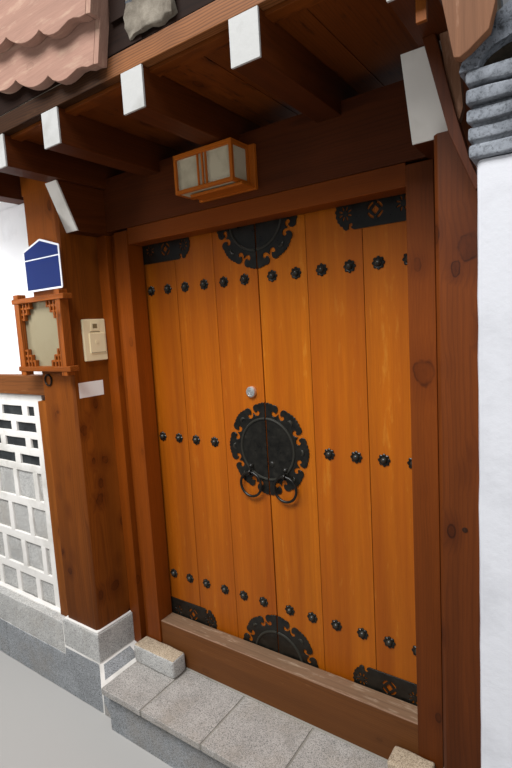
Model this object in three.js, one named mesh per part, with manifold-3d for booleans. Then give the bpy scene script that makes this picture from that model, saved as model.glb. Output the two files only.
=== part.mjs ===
// Street entrance of a hanok: a two-leaf plank gate between square posts, under a
// white-ended rafter eave, with the wall bay on its left and the wall end on its right.
// Lengths are millimetres. In the gate's own frame x runs along the gate from the seam
// between the leaves, y runs into the house from the leaves' front faces, and z is up
// from the alley. The whole group is moved so that its origin is in the middle of its base.
import * as THREE from "three";
import { mergeVertices } from "three/addons/utils/BufferGeometryUtils.js";
import Module from "manifold-3d";

const wasm = await Module();
wasm.setup();

// Gateway
const JAMB_INNER_X = 593;
const JAMB_WIDTH = 80;
const JAMB_FRONT_Y = -97;
const FRAME_BACK_Y = -10;
const CASING_RECESS = 32;
const CASING_STRIP_WIDTH = 65;
const GATE_SILL_Z = 220;
const THRESHOLD_TOP_Z = 404;
const THRESHOLD_FRONT_Y = -87;
const LINTEL_BOTTOM_Z = 2104;
const LINTEL_FRONT_Y = -91;
const FRAME_END_X = 584;
const HEADER_BOTTOM_Z = 2172;
const HEADER_TOP_Z = 2394;
const HEADER_FRONT_Y = -95;
const HEADER_BACK_Y = 55;

// Posts and the stones under them
const LEFT_POST_X = [-1022, -792];
const RIGHT_POST_X = [722, 952];
const END_POST_X = [-2352, -2122];
const POST_FRONT_Y = -287;
const POST_BACK_Y = 31;
const POST_BOTTOM_Z = 393;
const POST_EDGE = 11;
const BASE_PROUD = 13;
const BASE_SIDE_PROUD = 23;
const BASE_BOTTOM_Z = 250;
const STONE_BACK_Y = 45;

// Crossbeams with slanted heads
const LEFT_CROSSBEAM_X = [-792, -719];
const RIGHT_CROSSBEAM_X = [661, 757];
const CROSSBEAM_BOTTOM_Z = 2163;
const CROSSBEAM_TOP_Z = 2350;
const HEAD_TOP_Y = -323;
const HEAD_BOTTOM_Y = -245;
const ROOF_MIDDLE_Y = -127;

// Eave
const RAFTER_WIDTH = 84;
const RAFTER_HEIGHT = 110;
const RAFTER_BOTTOM_Z = 2350;
const RAFTER_FRONT_Y = -537;
const RAFTER_CENTRES_X = [747, 361, -25, -415, -737, -1122, -1508, -1894, -2280];
const SOFFIT_THICKNESS = 22;
const EAVE_BOARD_THICKNESS = 30;
const EAVE_BOARD_TOP_Z = 2517;
const ROOF_LEFT_X = -2440;
const ROOF_RIGHT_X = 800;
const WING_ROOF_RIGHT_X = -140;
const GATE_ROOF_LEFT_X = -113;
const GATE_TILES_LEFT_X = -40;

// Roofs
const GATE_EAVE_TOP_Z = 2592;
const GATE_RIDGE_Z = 2800;
const WING_LOW_TOP_Z = 2640;
const WING_RAKE = Math.tan((13.2 * Math.PI) / 180);
const TILE_THICKNESS = 34;
const TILE_ROW = 230;
const TILE_COVER_RADIUS = 62;
const RIDGE_HALF_WIDTH = 90;
const RIDGE_HEIGHT = 130;
const GATE_TILE_REACH = 0.86;
const WING_TILE_REACH = 0.94;

// Left wall bay
const WALL_FRONT_Y = -221;
const PATTERN_FRONT_Y = -240;
const WALL_BACK_Y = -21;
const COURSE_FRONT_Y = -300;
const LOWER_COURSE_TOP_Z = 210;
const PLINTH_TOP_Z = 372;
const PATTERN_TOP_Z = 1468;
const RAIL_TOP_Z = 1562;
const RAIL_FRONT_Y = -262;
const WALL_TRIM_WIDTH = 91;
const WALL_TRIM_FRONT_Y = -262;
const WALL_TRIM_TOP_Z = 1440;

// Step
const STEP_X = [-684, 684];
const STEP_RETURN_Y = -300;
const SLAB_FRONT_Y = -374;
const SLAB_THICKNESS = 28;
const RISER_FRONT_Y = -340;
const STOP_STONE_HEIGHT = 87;
const STOP_STONE_DEPTH = 91;
const LEFT_STOP_STONE_X = [-690, -440];
const RIGHT_STOP_STONE_X = [515, 652];

// Right wall
const RIGHT_WALL_X = [860, 1340];
const RIGHT_WALL_FRONT_Y = -500;
const RIGHT_WALL_TOP_Z = 2025;
const COPING_Y = [-536.5, -290];
const COPING_LEFT_X = 848;
const COPING_COURSE = 31;
const COPING_COURSES = 4;
const COPING_STEP = 8;
const COPING_PAN = 26;
const COPING_TILE_RADIUS = 104;
const COPING_TILE_WALL = 38;
const COPING_TILE_X = [945, 1220];

// Gate leaves
const LEAF_SEAM_HALF = 3;
const LEAF_THICKNESS = 45;
const LEAF_BOTTOM_Z = 375;
const LEAF_TOP_Z = 2128;
const HINGE_X = 611;
const PIN_RADIUS = 11.3;
const PIN_HOLE_RADIUS = 12;
const PIN_LENGTH = 30;
const PIN_END_GAP = 0.5;
const PIVOT_BLOCK_HALF = 38;
const PIVOT_BLOCK_GAP = 8;
const BATTEN_ROWS_Z = [601, 1258, 1910];
const BATTEN_HEIGHT = 90;
const BATTEN_THICKNESS = 35;

// Ironwork
const PLATE_THICKNESS = 4;
const ROUNDEL_Z = 1252;
const ROUNDEL_RADIUS = 176;
const ROUNDEL_LOBE = 8;
const ROUNDEL_LOBES = 8;
const ROUNDEL_STEPS = 48;
const STRAP_X = [325, 611];
const STRAP_HEIGHT = 102;
const RING_X = 80;
const RING_Y = -16;
const RING_TOP_Z = 1153;
const RING_RADIUS = 49;
const RING_WIRE = 5;
const EYE_RADIUS = 12;
const EYE_HOLE_RADIUS = 5.8;
const EYE_WIDTH = 8;
const LOCK_X = -60;
const LOCK_Z = 1476;
const LOCK_RADIUS = 22;
const LOCK_PROUD = 12;

const GAP = 0.3;
const ORIGIN_X = -582;
const ORIGIN_Y = -140;

function finish(color, roughness, metalness = 0) {
  return new THREE.MeshStandardMaterial({ color, roughness, metalness });
}

const stainedPine = finish(0x7a3f20, 0.6);
const honeyPine = finish(0xc0661c, 0.5);
const weatheredPine = finish(0xb99a8a, 0.8);
const blackIron = finish(0x1b1c1d, 0.55, 0.7);
const lightGranite = finish(0xb4b4b4, 0.85);
const darkGranite = finish(0x747678, 0.85);
const limePlaster = finish(0xece9e4, 0.9);
const clay = finish(0xb3a892, 0.95);
const roofTile = finish(0x5f646b, 0.8);
const steel = finish(0xc8c9ca, 0.3, 0.9);
const beigePlastic = finish(0xcdb98f, 0.5);
const blueEnamel = finish(0x3c55b0, 0.4);

const gate = new THREE.Group();

function addPiece(name, geometry, material) {
  const piece = new THREE.Mesh(geometry, material);
  piece.name = name;
  gate.add(piece);
  return piece;
}

// A box from its two corners.
function block([x0, x1], [y0, y1], [z0, z1]) {
  const geometry = new THREE.BoxGeometry(x1 - x0, y1 - y0, z1 - z0);
  return geometry.translate((x0 + x1) / 2, (y0 + y1) / 2, (z0 + z1) / 2);
}

function outline(points) {
  return new THREE.Shape(points.map(([a, b]) => new THREE.Vector2(a, b)));
}

// An outline in x and y, raised along z.
function upright(shape, [z0, z1]) {
  const geometry = new THREE.ExtrudeGeometry(shape, {
    depth: z1 - z0,
    bevelEnabled: false,
    curveSegments: 12,
  });
  return geometry.translate(0, 0, z0);
}

// An outline in x and z, as a panel that faces the alley.
function panel(shape, [y0, y1]) {
  const geometry = new THREE.ExtrudeGeometry(shape, {
    depth: y1 - y0,
    bevelEnabled: false,
    curveSegments: 12,
  });
  return geometry.rotateX(Math.PI / 2).translate(0, y1, 0);
}

// An outline in y and z, drawn out along x.
function drawn(shape, [x0, x1]) {
  const geometry = new THREE.ExtrudeGeometry(shape, {
    depth: x1 - x0,
    bevelEnabled: false,
    curveSegments: 12,
  });
  const turn = new THREE.Matrix4().makeBasis(
    new THREE.Vector3(0, 1, 0),
    new THREE.Vector3(0, 0, 1),
    new THREE.Vector3(1, 0, 0),
  );
  return geometry.applyMatrix4(turn).translate(x0, 0, 0);
}

function rod(radius, [z0, z1], x, y) {
  const geometry = new THREE.CylinderGeometry(radius, radius, z1 - z0, 24);
  return geometry.rotateX(Math.PI / 2).translate(x, y, (z0 + z1) / 2);
}

function toSolid(geometry) {
  const bare = geometry.index ? geometry.toNonIndexed() : geometry.clone();
  bare.deleteAttribute("normal");
  bare.deleteAttribute("uv");
  const merged = mergeVertices(bare, 1e-4);
  return new wasm.Manifold(
    new wasm.Mesh({
      numProp: 3,
      vertProperties: new Float32Array(merged.attributes.position.array),
      triVerts: new Uint32Array(merged.index.array),
    }),
  );
}

function toGeometry(solid) {
  const mesh = solid.getMesh();
  const geometry = new THREE.BufferGeometry();
  geometry.setAttribute("position", new THREE.BufferAttribute(mesh.vertProperties, 3));
  geometry.setIndex(new THREE.BufferAttribute(mesh.triVerts, 1));
  return geometry;
}

function joined(...geometries) {
  return toGeometry(geometries.map(toSolid).reduce((all, next) => all.add(next)));
}

function cut(geometry, ...tools) {
  return toGeometry(tools.map(toSolid).reduce((left, tool) => left.subtract(tool), toSolid(geometry)));
}

// Left and right copies of a piece that is drawn for the right side.
function mirrored(geometry) {
  const copy = geometry.index ? geometry.toNonIndexed() : geometry.clone();
  copy.scale(-1, 1, 1);
  const position = copy.attributes.position;
  for (let i = 0; i < position.count; i += 3) {
    const first = new THREE.Vector3().fromBufferAttribute(position, i);
    const last = new THREE.Vector3().fromBufferAttribute(position, i + 2);
    position.setXYZ(i, last.x, last.y, last.z);
    position.setXYZ(i + 2, first.x, first.y, first.z);
  }
  return copy;
}

// A post is square timber with its two front edges planed off.
function postShape([x0, x1]) {
  return outline([
    [x0, POST_BACK_Y],
    [x0, POST_FRONT_Y + POST_EDGE],
    [x0 + POST_EDGE, POST_FRONT_Y],
    [x1 - POST_EDGE, POST_FRONT_Y],
    [x1, POST_FRONT_Y + POST_EDGE],
    [x1, POST_BACK_Y],
  ]);
}

function crossbeamShape() {
  const backTop = 2 * ROOF_MIDDLE_Y - HEAD_TOP_Y;
  const backBottom = 2 * ROOF_MIDDLE_Y - HEAD_BOTTOM_Y;
  return outline([
    [HEAD_BOTTOM_Y, CROSSBEAM_BOTTOM_Z],
    [backBottom, CROSSBEAM_BOTTOM_Z],
    [backTop, CROSSBEAM_TOP_Z],
    [HEAD_TOP_Y, CROSSBEAM_TOP_Z],
  ]);
}

function buildPosts() {
  const top = RAFTER_BOTTOM_Z;
  addPiece("left_post", upright(postShape(LEFT_POST_X), [POST_BOTTOM_Z, top]), stainedPine);
  addPiece("end_post", upright(postShape(END_POST_X), [POST_BOTTOM_Z, top]), stainedPine);
  const rightPost = upright(postShape(RIGHT_POST_X), [POST_BOTTOM_Z, top]);
  const housing = block(
    [RIGHT_CROSSBEAM_X[0], RIGHT_CROSSBEAM_X[1] + GAP],
    [POST_FRONT_Y - 100, POST_BACK_Y + 100],
    [CROSSBEAM_BOTTOM_Z - GAP, top + 10],
  );
  addPiece("right_post", cut(rightPost, housing), stainedPine);
}

function buildPostStones() {
  const stones = { left: LEFT_POST_X, right: RIGHT_POST_X, end: END_POST_X };
  for (const [side, [x0, x1]] of Object.entries(stones)) {
    const span = [x0 - BASE_SIDE_PROUD, x1 + BASE_PROUD];
    const depth = [COURSE_FRONT_Y, STONE_BACK_Y];
    const bottom = side === "right" ? 0 : BASE_BOTTOM_Z;
    addPiece(side + "_post_base", block(span, depth, [bottom, POST_BOTTOM_Z]), lightGranite);
  }
  const wallSpan = [END_POST_X[0] - BASE_SIDE_PROUD, LEFT_POST_X[1] + BASE_PROUD];
  const low = block(wallSpan, [COURSE_FRONT_Y, STONE_BACK_Y], [0, LOWER_COURSE_TOP_Z]);
  const underPosts = [LEFT_POST_X, END_POST_X].map(([x0, x1]) =>
    block(
      [x0 - BASE_SIDE_PROUD, x1 + BASE_PROUD],
      [COURSE_FRONT_Y, STONE_BACK_Y],
      [LOWER_COURSE_TOP_Z - 20, BASE_BOTTOM_Z],
    ),
  );
  addPiece("lower_course", joined(low, ...underPosts), darkGranite);
}

// Each jamb is an inner post and, on the left, a recessed board and an outer strip.
function buildJambs() {
  const height = [GATE_SILL_Z, CROSSBEAM_BOTTOM_Z];
  const innerEdge = JAMB_INNER_X + JAMB_WIDTH;
  const inner = [
    [JAMB_INNER_X, JAMB_FRONT_Y],
    [innerEdge, JAMB_FRONT_Y],
    [innerEdge, JAMB_FRONT_Y + CASING_RECESS],
  ];
  const stripEdge = -LEFT_POST_X[1] - CASING_STRIP_WIDTH;
  const left = outline([
    ...inner,
    [stripEdge, JAMB_FRONT_Y + CASING_RECESS],
    [stripEdge, JAMB_FRONT_Y],
    [-LEFT_POST_X[1], JAMB_FRONT_Y],
    [-LEFT_POST_X[1], FRAME_BACK_Y],
    [JAMB_INNER_X, FRAME_BACK_Y],
  ]);
  const right = outline([
    ...inner,
    [RIGHT_POST_X[0], JAMB_FRONT_Y + CASING_RECESS],
    [RIGHT_POST_X[0], FRAME_BACK_Y],
    [JAMB_INNER_X, FRAME_BACK_Y],
  ]);
  const overStone = block(
    [-LEFT_POST_X[1] - BASE_PROUD - GAP, -LEFT_POST_X[1] + 10],
    [JAMB_FRONT_Y - 10, 0],
    [0, POST_BOTTOM_Z + GAP],
  );
  addPiece("left_jamb", mirrored(cut(upright(left, height), overStone)), stainedPine);
  const overRightStone = block(
    [RIGHT_POST_X[0] - BASE_SIDE_PROUD - GAP, RIGHT_POST_X[0] + 10],
    [JAMB_FRONT_Y - 10, 0],
    [0, POST_BOTTOM_Z + GAP],
  );
  addPiece("right_jamb", cut(upright(right, height), overRightStone), stainedPine);
}

function pivotBlock(side, [z0, z1]) {
  const x = [side * HINGE_X - PIVOT_BLOCK_HALF, side * HINGE_X + PIVOT_BLOCK_HALF];
  return block(x, [FRAME_BACK_Y + 2, HEADER_BACK_Y], [z0, z1]);
}

function pinHole(side, [z0, z1]) {
  return rod(PIN_HOLE_RADIUS, [z0, z1], side * HINGE_X, LEAF_THICKNESS / 2);
}

function rafter(x) {
  return block(
    [x - RAFTER_WIDTH / 2, x + RAFTER_WIDTH / 2],
    [RAFTER_FRONT_Y, 2 * ROOF_MIDDLE_Y - RAFTER_FRONT_Y],
    [RAFTER_BOTTOM_Z, RAFTER_BOTTOM_Z + RAFTER_HEIGHT],
  );
}

function rafterNotch(x) {
  return block(
    [x - RAFTER_WIDTH / 2 - GAP, x + RAFTER_WIDTH / 2 + GAP],
    [RAFTER_FRONT_Y, HEADER_BACK_Y + 10],
    [RAFTER_BOTTOM_Z - GAP, RAFTER_BOTTOM_Z + RAFTER_HEIGHT],
  );
}

function buildGateFrame() {
  const headerX = [LEFT_CROSSBEAM_X[1], RIGHT_CROSSBEAM_X[0]];
  const header = block(headerX, [HEADER_FRONT_Y, HEADER_BACK_Y], [HEADER_BOTTOM_Z, HEADER_TOP_Z]);
  const upperBlockZ = [LEAF_TOP_Z + PIVOT_BLOCK_GAP, HEADER_BOTTOM_Z + 10];
  const upperBlocks = [-1, 1].map((side) => pivotBlock(side, upperBlockZ));
  const upperHoles = [-1, 1].map((side) => pinHole(side, [LEAF_TOP_Z, LEAF_TOP_Z + PIN_LENGTH + PIN_END_GAP]));
  const notches = RAFTER_CENTRES_X.slice(0, 5).map(rafterNotch);
  const wholeHeader = joined(header, ...upperBlocks);
  addPiece("header_beam", cut(wholeHeader, ...upperHoles, ...notches), stainedPine);

  const across = [-FRAME_END_X, FRAME_END_X];
  const lintelY = [LINTEL_FRONT_Y, FRAME_BACK_Y];
  addPiece("lintel", block(across, lintelY, [LINTEL_BOTTOM_Z, HEADER_BOTTOM_Z]), stainedPine);

  const bar = block(across, [THRESHOLD_FRONT_Y, FRAME_BACK_Y], [GATE_SILL_Z, THRESHOLD_TOP_Z]);
  const lowerBlocks = [-1, 1].map((side) =>
    block(
      [side * HINGE_X - PIVOT_BLOCK_HALF, side * HINGE_X + PIVOT_BLOCK_HALF],
      [FRAME_BACK_Y + GAP, HEADER_BACK_Y],
      [GATE_SILL_Z, LEAF_BOTTOM_Z - PIVOT_BLOCK_GAP],
    ),
  );
  const blockLink = block(
    [-HINGE_X, HINGE_X],
    [FRAME_BACK_Y - 5, HEADER_BACK_Y - 25],
    [GATE_SILL_Z, GATE_SILL_Z + 60],
  );
  const jambRoom = [-1, 1].map((side) =>
    block(
      side > 0 ? [JAMB_INNER_X - GAP, 700] : [-700, GAP - JAMB_INNER_X],
      [JAMB_FRONT_Y, FRAME_BACK_Y + GAP],
      [GATE_SILL_Z - 1, THRESHOLD_TOP_Z + 1],
    ),
  );
  const lowerHoles = [-1, 1].map((side) =>
    pinHole(side, [LEAF_BOTTOM_Z - PIN_LENGTH - PIN_END_GAP, LEAF_BOTTOM_Z]),
  );
  const wholeThreshold = joined(bar, blockLink, ...lowerBlocks);
  addPiece("threshold", cut(wholeThreshold, ...jambRoom, ...lowerHoles), stainedPine);
  const sillX = [LEFT_POST_X[1] + BASE_PROUD + GAP, RIGHT_POST_X[0] - BASE_SIDE_PROUD - GAP];
  const sillY = [JAMB_FRONT_Y + 5, HEADER_BACK_Y + 5];
  addPiece("sill_stone", block(sillX, sillY, [0, GATE_SILL_Z]), darkGranite);
}

function buildCrossbeams() {
  addPiece("left_crossbeam", drawn(crossbeamShape(), LEFT_CROSSBEAM_X), stainedPine);
  addPiece("right_crossbeam", drawn(crossbeamShape(), RIGHT_CROSSBEAM_X), stainedPine);
}

function buildEave() {
  const rafterTop = RAFTER_BOTTOM_Z + RAFTER_HEIGHT;
  const backY = 2 * ROOF_MIDDLE_Y - RAFTER_FRONT_Y;
  const boards = block(
    [ROOF_LEFT_X, ROOF_RIGHT_X],
    [RAFTER_FRONT_Y + EAVE_BOARD_THICKNESS + GAP, backY - EAVE_BOARD_THICKNESS - GAP],
    [rafterTop - 1, rafterTop + SOFFIT_THICKNESS],
  );
  addPiece("rafters", joined(boards, ...RAFTER_CENTRES_X.map(rafter)), stainedPine);
  const eaveX = [ROOF_LEFT_X, ROOF_RIGHT_X];
  const eaveZ = [rafterTop, EAVE_BOARD_TOP_Z];
  const frontY = [RAFTER_FRONT_Y, RAFTER_FRONT_Y + EAVE_BOARD_THICKNESS];
  const rearY = [backY - EAVE_BOARD_THICKNESS, backY];
  addPiece("front_eave_board", block(eaveX, frontY, eaveZ), stainedPine);
  addPiece("back_eave_board", block(eaveX, rearY, eaveZ), stainedPine);
}

// The height of the wing roof's clay at a place along the gate.
const WING_PEAK_X = (ROOF_LEFT_X + WING_ROOF_RIGHT_X) / 2;
const WING_PEAK_Z = WING_LOW_TOP_Z + (WING_ROOF_RIGHT_X - WING_PEAK_X) * WING_RAKE;

function buildRoofBeds() {
  const frontY = RAFTER_FRONT_Y + EAVE_BOARD_THICKNESS;
  const backY = 2 * ROOF_MIDDLE_Y - frontY;
  const bottom = RAFTER_BOTTOM_Z + RAFTER_HEIGHT + SOFFIT_THICKNESS;
  const lip = EAVE_BOARD_TOP_Z;
  const outerY = RAFTER_FRONT_Y + 4;
  const outerBackY = 2 * ROOF_MIDDLE_Y - outerY;
  const gateBed = outline([
    [frontY + GAP, bottom],
    [backY - GAP, bottom],
    [backY - GAP, lip],
    [outerBackY, lip],
    [outerBackY, GATE_EAVE_TOP_Z],
    [ROOF_MIDDLE_Y, GATE_RIDGE_Z],
    [outerY, GATE_EAVE_TOP_Z],
    [outerY, lip],
    [frontY + GAP, lip],
  ]);
  addPiece("gate_roof_clay", drawn(gateBed, [GATE_ROOF_LEFT_X, ROOF_RIGHT_X]), clay);
  const wingBed = outline([
    [ROOF_LEFT_X, lip],
    [WING_ROOF_RIGHT_X, lip],
    [WING_ROOF_RIGHT_X, WING_LOW_TOP_Z],
    [WING_PEAK_X, WING_PEAK_Z],
    [ROOF_LEFT_X, WING_LOW_TOP_Z],
  ]);
  const wingTop = panel(wingBed, [RAFTER_FRONT_Y, 2 * ROOF_MIDDLE_Y - RAFTER_FRONT_Y]);
  const wingBottom = block(
    [ROOF_LEFT_X, WING_ROOF_RIGHT_X],
    [frontY + GAP, backY - GAP],
    [bottom, lip + 1],
  );
  addPiece("wing_roof_clay", joined(wingTop, wingBottom), clay);
}

// One slope of tiling: a flat course with half-round cover tiles along its length.
// The outline is drawn across the slope, from 0 to width, with its base at height 0.
function tileSlope(width, length) {
  const rows = Math.round(width / TILE_ROW);
  const pitch = width / rows;
  const shape = new THREE.Shape();
  shape.moveTo(0, 0);
  shape.lineTo(width, 0);
  shape.lineTo(width, TILE_THICKNESS);
  for (let row = rows - 1; row >= 0; row--) {
    const middle = (row + 0.5) * pitch;
    shape.lineTo(middle + TILE_COVER_RADIUS, TILE_THICKNESS);
    shape.absarc(middle, TILE_THICKNESS, TILE_COVER_RADIUS, 0, Math.PI, false);
  }
  shape.lineTo(0, TILE_THICKNESS);
  return new THREE.ExtrudeGeometry(shape, {
    depth: length,
    bevelEnabled: false,
    curveSegments: 6,
  });
}

// Lays a slope from its eave line to its ridge line; across is the way along the eave.
function laidSlope(width, from, to, across) {
  const up = to.clone().sub(from);
  const length = up.length();
  up.normalize();
  const normal = up.clone().cross(across);
  const slope = tileSlope(width, length);
  const turn = new THREE.Matrix4().makeBasis(across, normal, up.clone());
  turn.setPosition(from);
  return slope.applyMatrix4(turn);
}

// The two slopes of a roof and the ridge over them are laid in one bed of mortar.
function gateTiles() {
  const lift = 2 * GAP;
  const width = ROOF_RIGHT_X - GATE_TILES_LEFT_X;
  const slopes = [
    { x: ROOF_RIGHT_X, y: RAFTER_FRONT_Y + 4, across: -1 },
    { x: GATE_TILES_LEFT_X, y: 2 * ROOF_MIDDLE_Y - RAFTER_FRONT_Y - 4, across: 1 },
  ].map(({ x, y, across }) => {
    const eave = new THREE.Vector3(x, y, GATE_EAVE_TOP_Z + lift);
    const ridge = new THREE.Vector3(x, ROOF_MIDDLE_Y, GATE_RIDGE_Z + lift);
    const top = eave.clone().lerp(ridge, GATE_TILE_REACH);
    return laidSlope(width, eave, top, new THREE.Vector3(across, 0, 0));
  });
  const gradient = (GATE_RIDGE_Z - GATE_EAVE_TOP_Z) / (ROOF_MIDDLE_Y - RAFTER_FRONT_Y - 4);
  const ridge = ridgeShape(ROOF_MIDDLE_Y, GATE_RIDGE_Z + lift, gradient);
  return joined(...slopes, drawn(ridge, [GATE_ROOF_LEFT_X, ROOF_RIGHT_X]));
}

function wingTiles() {
  const lift = 2 * GAP;
  const backY = 2 * ROOF_MIDDLE_Y - RAFTER_FRONT_Y;
  const slopes = [
    { x: WING_ROOF_RIGHT_X, y: backY, across: -1 },
    { x: ROOF_LEFT_X, y: RAFTER_FRONT_Y, across: 1 },
  ].map(({ x, y, across }) => {
    const eave = new THREE.Vector3(x, y, WING_LOW_TOP_Z + lift);
    const peak = new THREE.Vector3(WING_PEAK_X, y, WING_PEAK_Z + lift);
    const top = eave.clone().lerp(peak, WING_TILE_REACH);
    return laidSlope(backY - RAFTER_FRONT_Y, eave, top, new THREE.Vector3(0, across, 0));
  });
  const ridge = ridgeShape(WING_PEAK_X, WING_PEAK_Z + lift, WING_RAKE);
  return joined(...slopes, panel(ridge, [RAFTER_FRONT_Y, backY]));
}

// A ridge is a bed of stacked tiles under a half-round cover.
function ridgeShape(middle, base, slope) {
  const shape = new THREE.Shape();
  const side = base - RIDGE_HALF_WIDTH * slope;
  shape.moveTo(middle - RIDGE_HALF_WIDTH, side);
  shape.lineTo(middle, base);
  shape.lineTo(middle + RIDGE_HALF_WIDTH, side);
  const shoulder = base + RIDGE_HEIGHT;
  shape.lineTo(middle + RIDGE_HALF_WIDTH, shoulder - 60);
  shape.lineTo(middle + RIDGE_HALF_WIDTH * 0.75, shoulder - 60);
  shape.lineTo(middle + RIDGE_HALF_WIDTH * 0.75, shoulder);
  shape.absarc(middle, shoulder, RIDGE_HALF_WIDTH * 0.75, 0, Math.PI, false);
  shape.lineTo(middle - RIDGE_HALF_WIDTH * 0.75, shoulder - 60);
  shape.lineTo(middle - RIDGE_HALF_WIDTH, shoulder - 60);
  return shape;
}

function buildTiles() {
  addPiece("gate_roof_tiles", gateTiles(), roofTile);
  addPiece("wing_roof_tiles", wingTiles(), roofTile);
}

// A verge board follows the wing's rake from its low right end to the peak and down
// again. Its lower edge is a row of lobes that meet in upward cusps.
const VERGE_LOBE = 174;
const VERGE_LOBE_DEPTH = 27;
const VERGE_HEIGHT = 168;
const VERGE_END_TAIL = 215;

function vergeShape(endX, endZ) {
  const halfLength = endX - WING_PEAK_X;
  const lobes = Math.floor((halfLength - VERGE_END_TAIL) / VERGE_LOBE);
  const line = (x) => endZ - 14 + (endX - x) * WING_RAKE;
  const right = [];
  right.push([endX, endZ]);
  right.push([endX - 0.35 * VERGE_END_TAIL, line(endX - 0.35 * VERGE_END_TAIL) + 8]);
  right.push([endX - 0.58 * VERGE_END_TAIL, line(endX - 0.58 * VERGE_END_TAIL) - 14]);
  right.push([endX - 0.78 * VERGE_END_TAIL, line(endX - 0.78 * VERGE_END_TAIL) - 20]);
  for (let lobe = 0; lobe < lobes; lobe++) {
    for (let step = 0; step < 8; step++) {
      const x = endX - VERGE_END_TAIL - (lobe + step / 8) * VERGE_LOBE;
      right.push([x, line(x) - VERGE_LOBE_DEPTH * Math.sin((Math.PI * step) / 8) ** 0.8]);
    }
  }
  right.push([WING_PEAK_X, line(WING_PEAK_X)]);
  const left = right.slice(0, -1).reverse().map(([x, z]) => [2 * WING_PEAK_X - x, z]);
  const topEnd = endZ + VERGE_HEIGHT;
  const topPeak = topEnd + halfLength * WING_RAKE;
  const lean = VERGE_HEIGHT * WING_RAKE;
  return outline([
    ...right,
    ...left,
    [2 * WING_PEAK_X - endX - lean, topEnd],
    [WING_PEAK_X, topPeak + lean * WING_RAKE],
    [endX + lean, topEnd],
  ]);
}

const VERGE_THICKNESS = 33;
const VERGE_LOWER_END = [-140, 2497];
const VERGE_UPPER_END = [-115, 2606];
const VERGE_TRIM_WIDTH = 20;
const VERGE_TRIM_TOP_Z = 2774;

function buildVerges() {
  const lowerY = [RAFTER_FRONT_Y - VERGE_THICKNESS, RAFTER_FRONT_Y];
  const upperY = [RAFTER_FRONT_Y - 2 * VERGE_THICKNESS, RAFTER_FRONT_Y - VERGE_THICKNESS];
  addPiece("lower_verge_board", panel(vergeShape(...VERGE_LOWER_END), lowerY), weatheredPine);
  addPiece("upper_verge_board", panel(vergeShape(...VERGE_UPPER_END), upperY), weatheredPine);
  const [x, z] = VERGE_LOWER_END;
  const lean = (VERGE_TRIM_TOP_Z - z) * WING_RAKE;
  const foot = x + 2 * GAP;
  const trim = outline([
    [foot, z],
    [foot + VERGE_TRIM_WIDTH, z - VERGE_TRIM_WIDTH / 2],
    [foot + VERGE_TRIM_WIDTH + lean, VERGE_TRIM_TOP_Z - VERGE_TRIM_WIDTH * WING_RAKE],
    [foot + lean, VERGE_TRIM_TOP_Z],
  ]);
  const underUpperBoard = block(
    [x - 10, x + 200],
    [upperY[0] - 1, upperY[1]],
    [z - 100, VERGE_UPPER_END[1]],
  );
  const wholeTrim = panel(trim, [upperY[0], lowerY[1]]);
  addPiece("verge_end_trim", cut(wholeTrim, underUpperBoard), weatheredPine);
}

function buildLeftWall() {
  const x = [END_POST_X[1], LEFT_POST_X[0]];
  const stoneX = [x[0] + BASE_PROUD + GAP, x[1] - BASE_SIDE_PROUD - GAP];
  const stoneZ = [LOWER_COURSE_TOP_Z, PLINTH_TOP_Z];
  addPiece("plinth_course", block(stoneX, [COURSE_FRONT_Y, STONE_BACK_Y], stoneZ), lightGranite);
  const patternX = [x[0] + WALL_TRIM_WIDTH, x[1] - WALL_TRIM_WIDTH];
  const wallY = [WALL_FRONT_Y, WALL_BACK_Y];
  const panelY = [PATTERN_FRONT_Y, WALL_BACK_Y];
  const lower = block(x, panelY, [POST_BOTTOM_Z, PATTERN_TOP_Z]);
  const foot = block(stoneX, panelY, [PLINTH_TOP_Z, POST_BOTTOM_Z + 1]);
  const room = [
    block([x[0] - 1, patternX[0]], [WALL_FRONT_Y - 50, WALL_BACK_Y + 1], [0, WALL_TRIM_TOP_Z + GAP]),
    block([patternX[1], x[1] + 1], [WALL_FRONT_Y - 50, WALL_BACK_Y + 1], [0, WALL_TRIM_TOP_Z + GAP]),
  ];
  addPiece("patterned_wall", cut(joined(lower, foot), ...room), limePlaster);
  for (const [side, span] of [
    ["left", [x[0], patternX[0] - GAP]],
    ["right", [patternX[1] + GAP, x[1]]],
  ]) {
    const trimY = [WALL_TRIM_FRONT_Y, WALL_BACK_Y];
    const trim = block(span, trimY, [POST_BOTTOM_Z, WALL_TRIM_TOP_Z]);
    const overPlinth = [Math.max(span[0], stoneX[0]), Math.min(span[1], stoneX[1])];
    const trimFoot = block(overPlinth, trimY, [PLINTH_TOP_Z, POST_BOTTOM_Z + 1]);
    addPiece(side + "_wall_trim", joined(trim, trimFoot), stainedPine);
  }
  addPiece("wall_rail", block(x, [RAIL_FRONT_Y, 0], [PATTERN_TOP_Z, RAIL_TOP_Z]), stainedPine);
  addPiece("plaster_wall", block(x, wallY, [RAIL_TOP_Z, RAFTER_BOTTOM_Z]), limePlaster);
}

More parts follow.
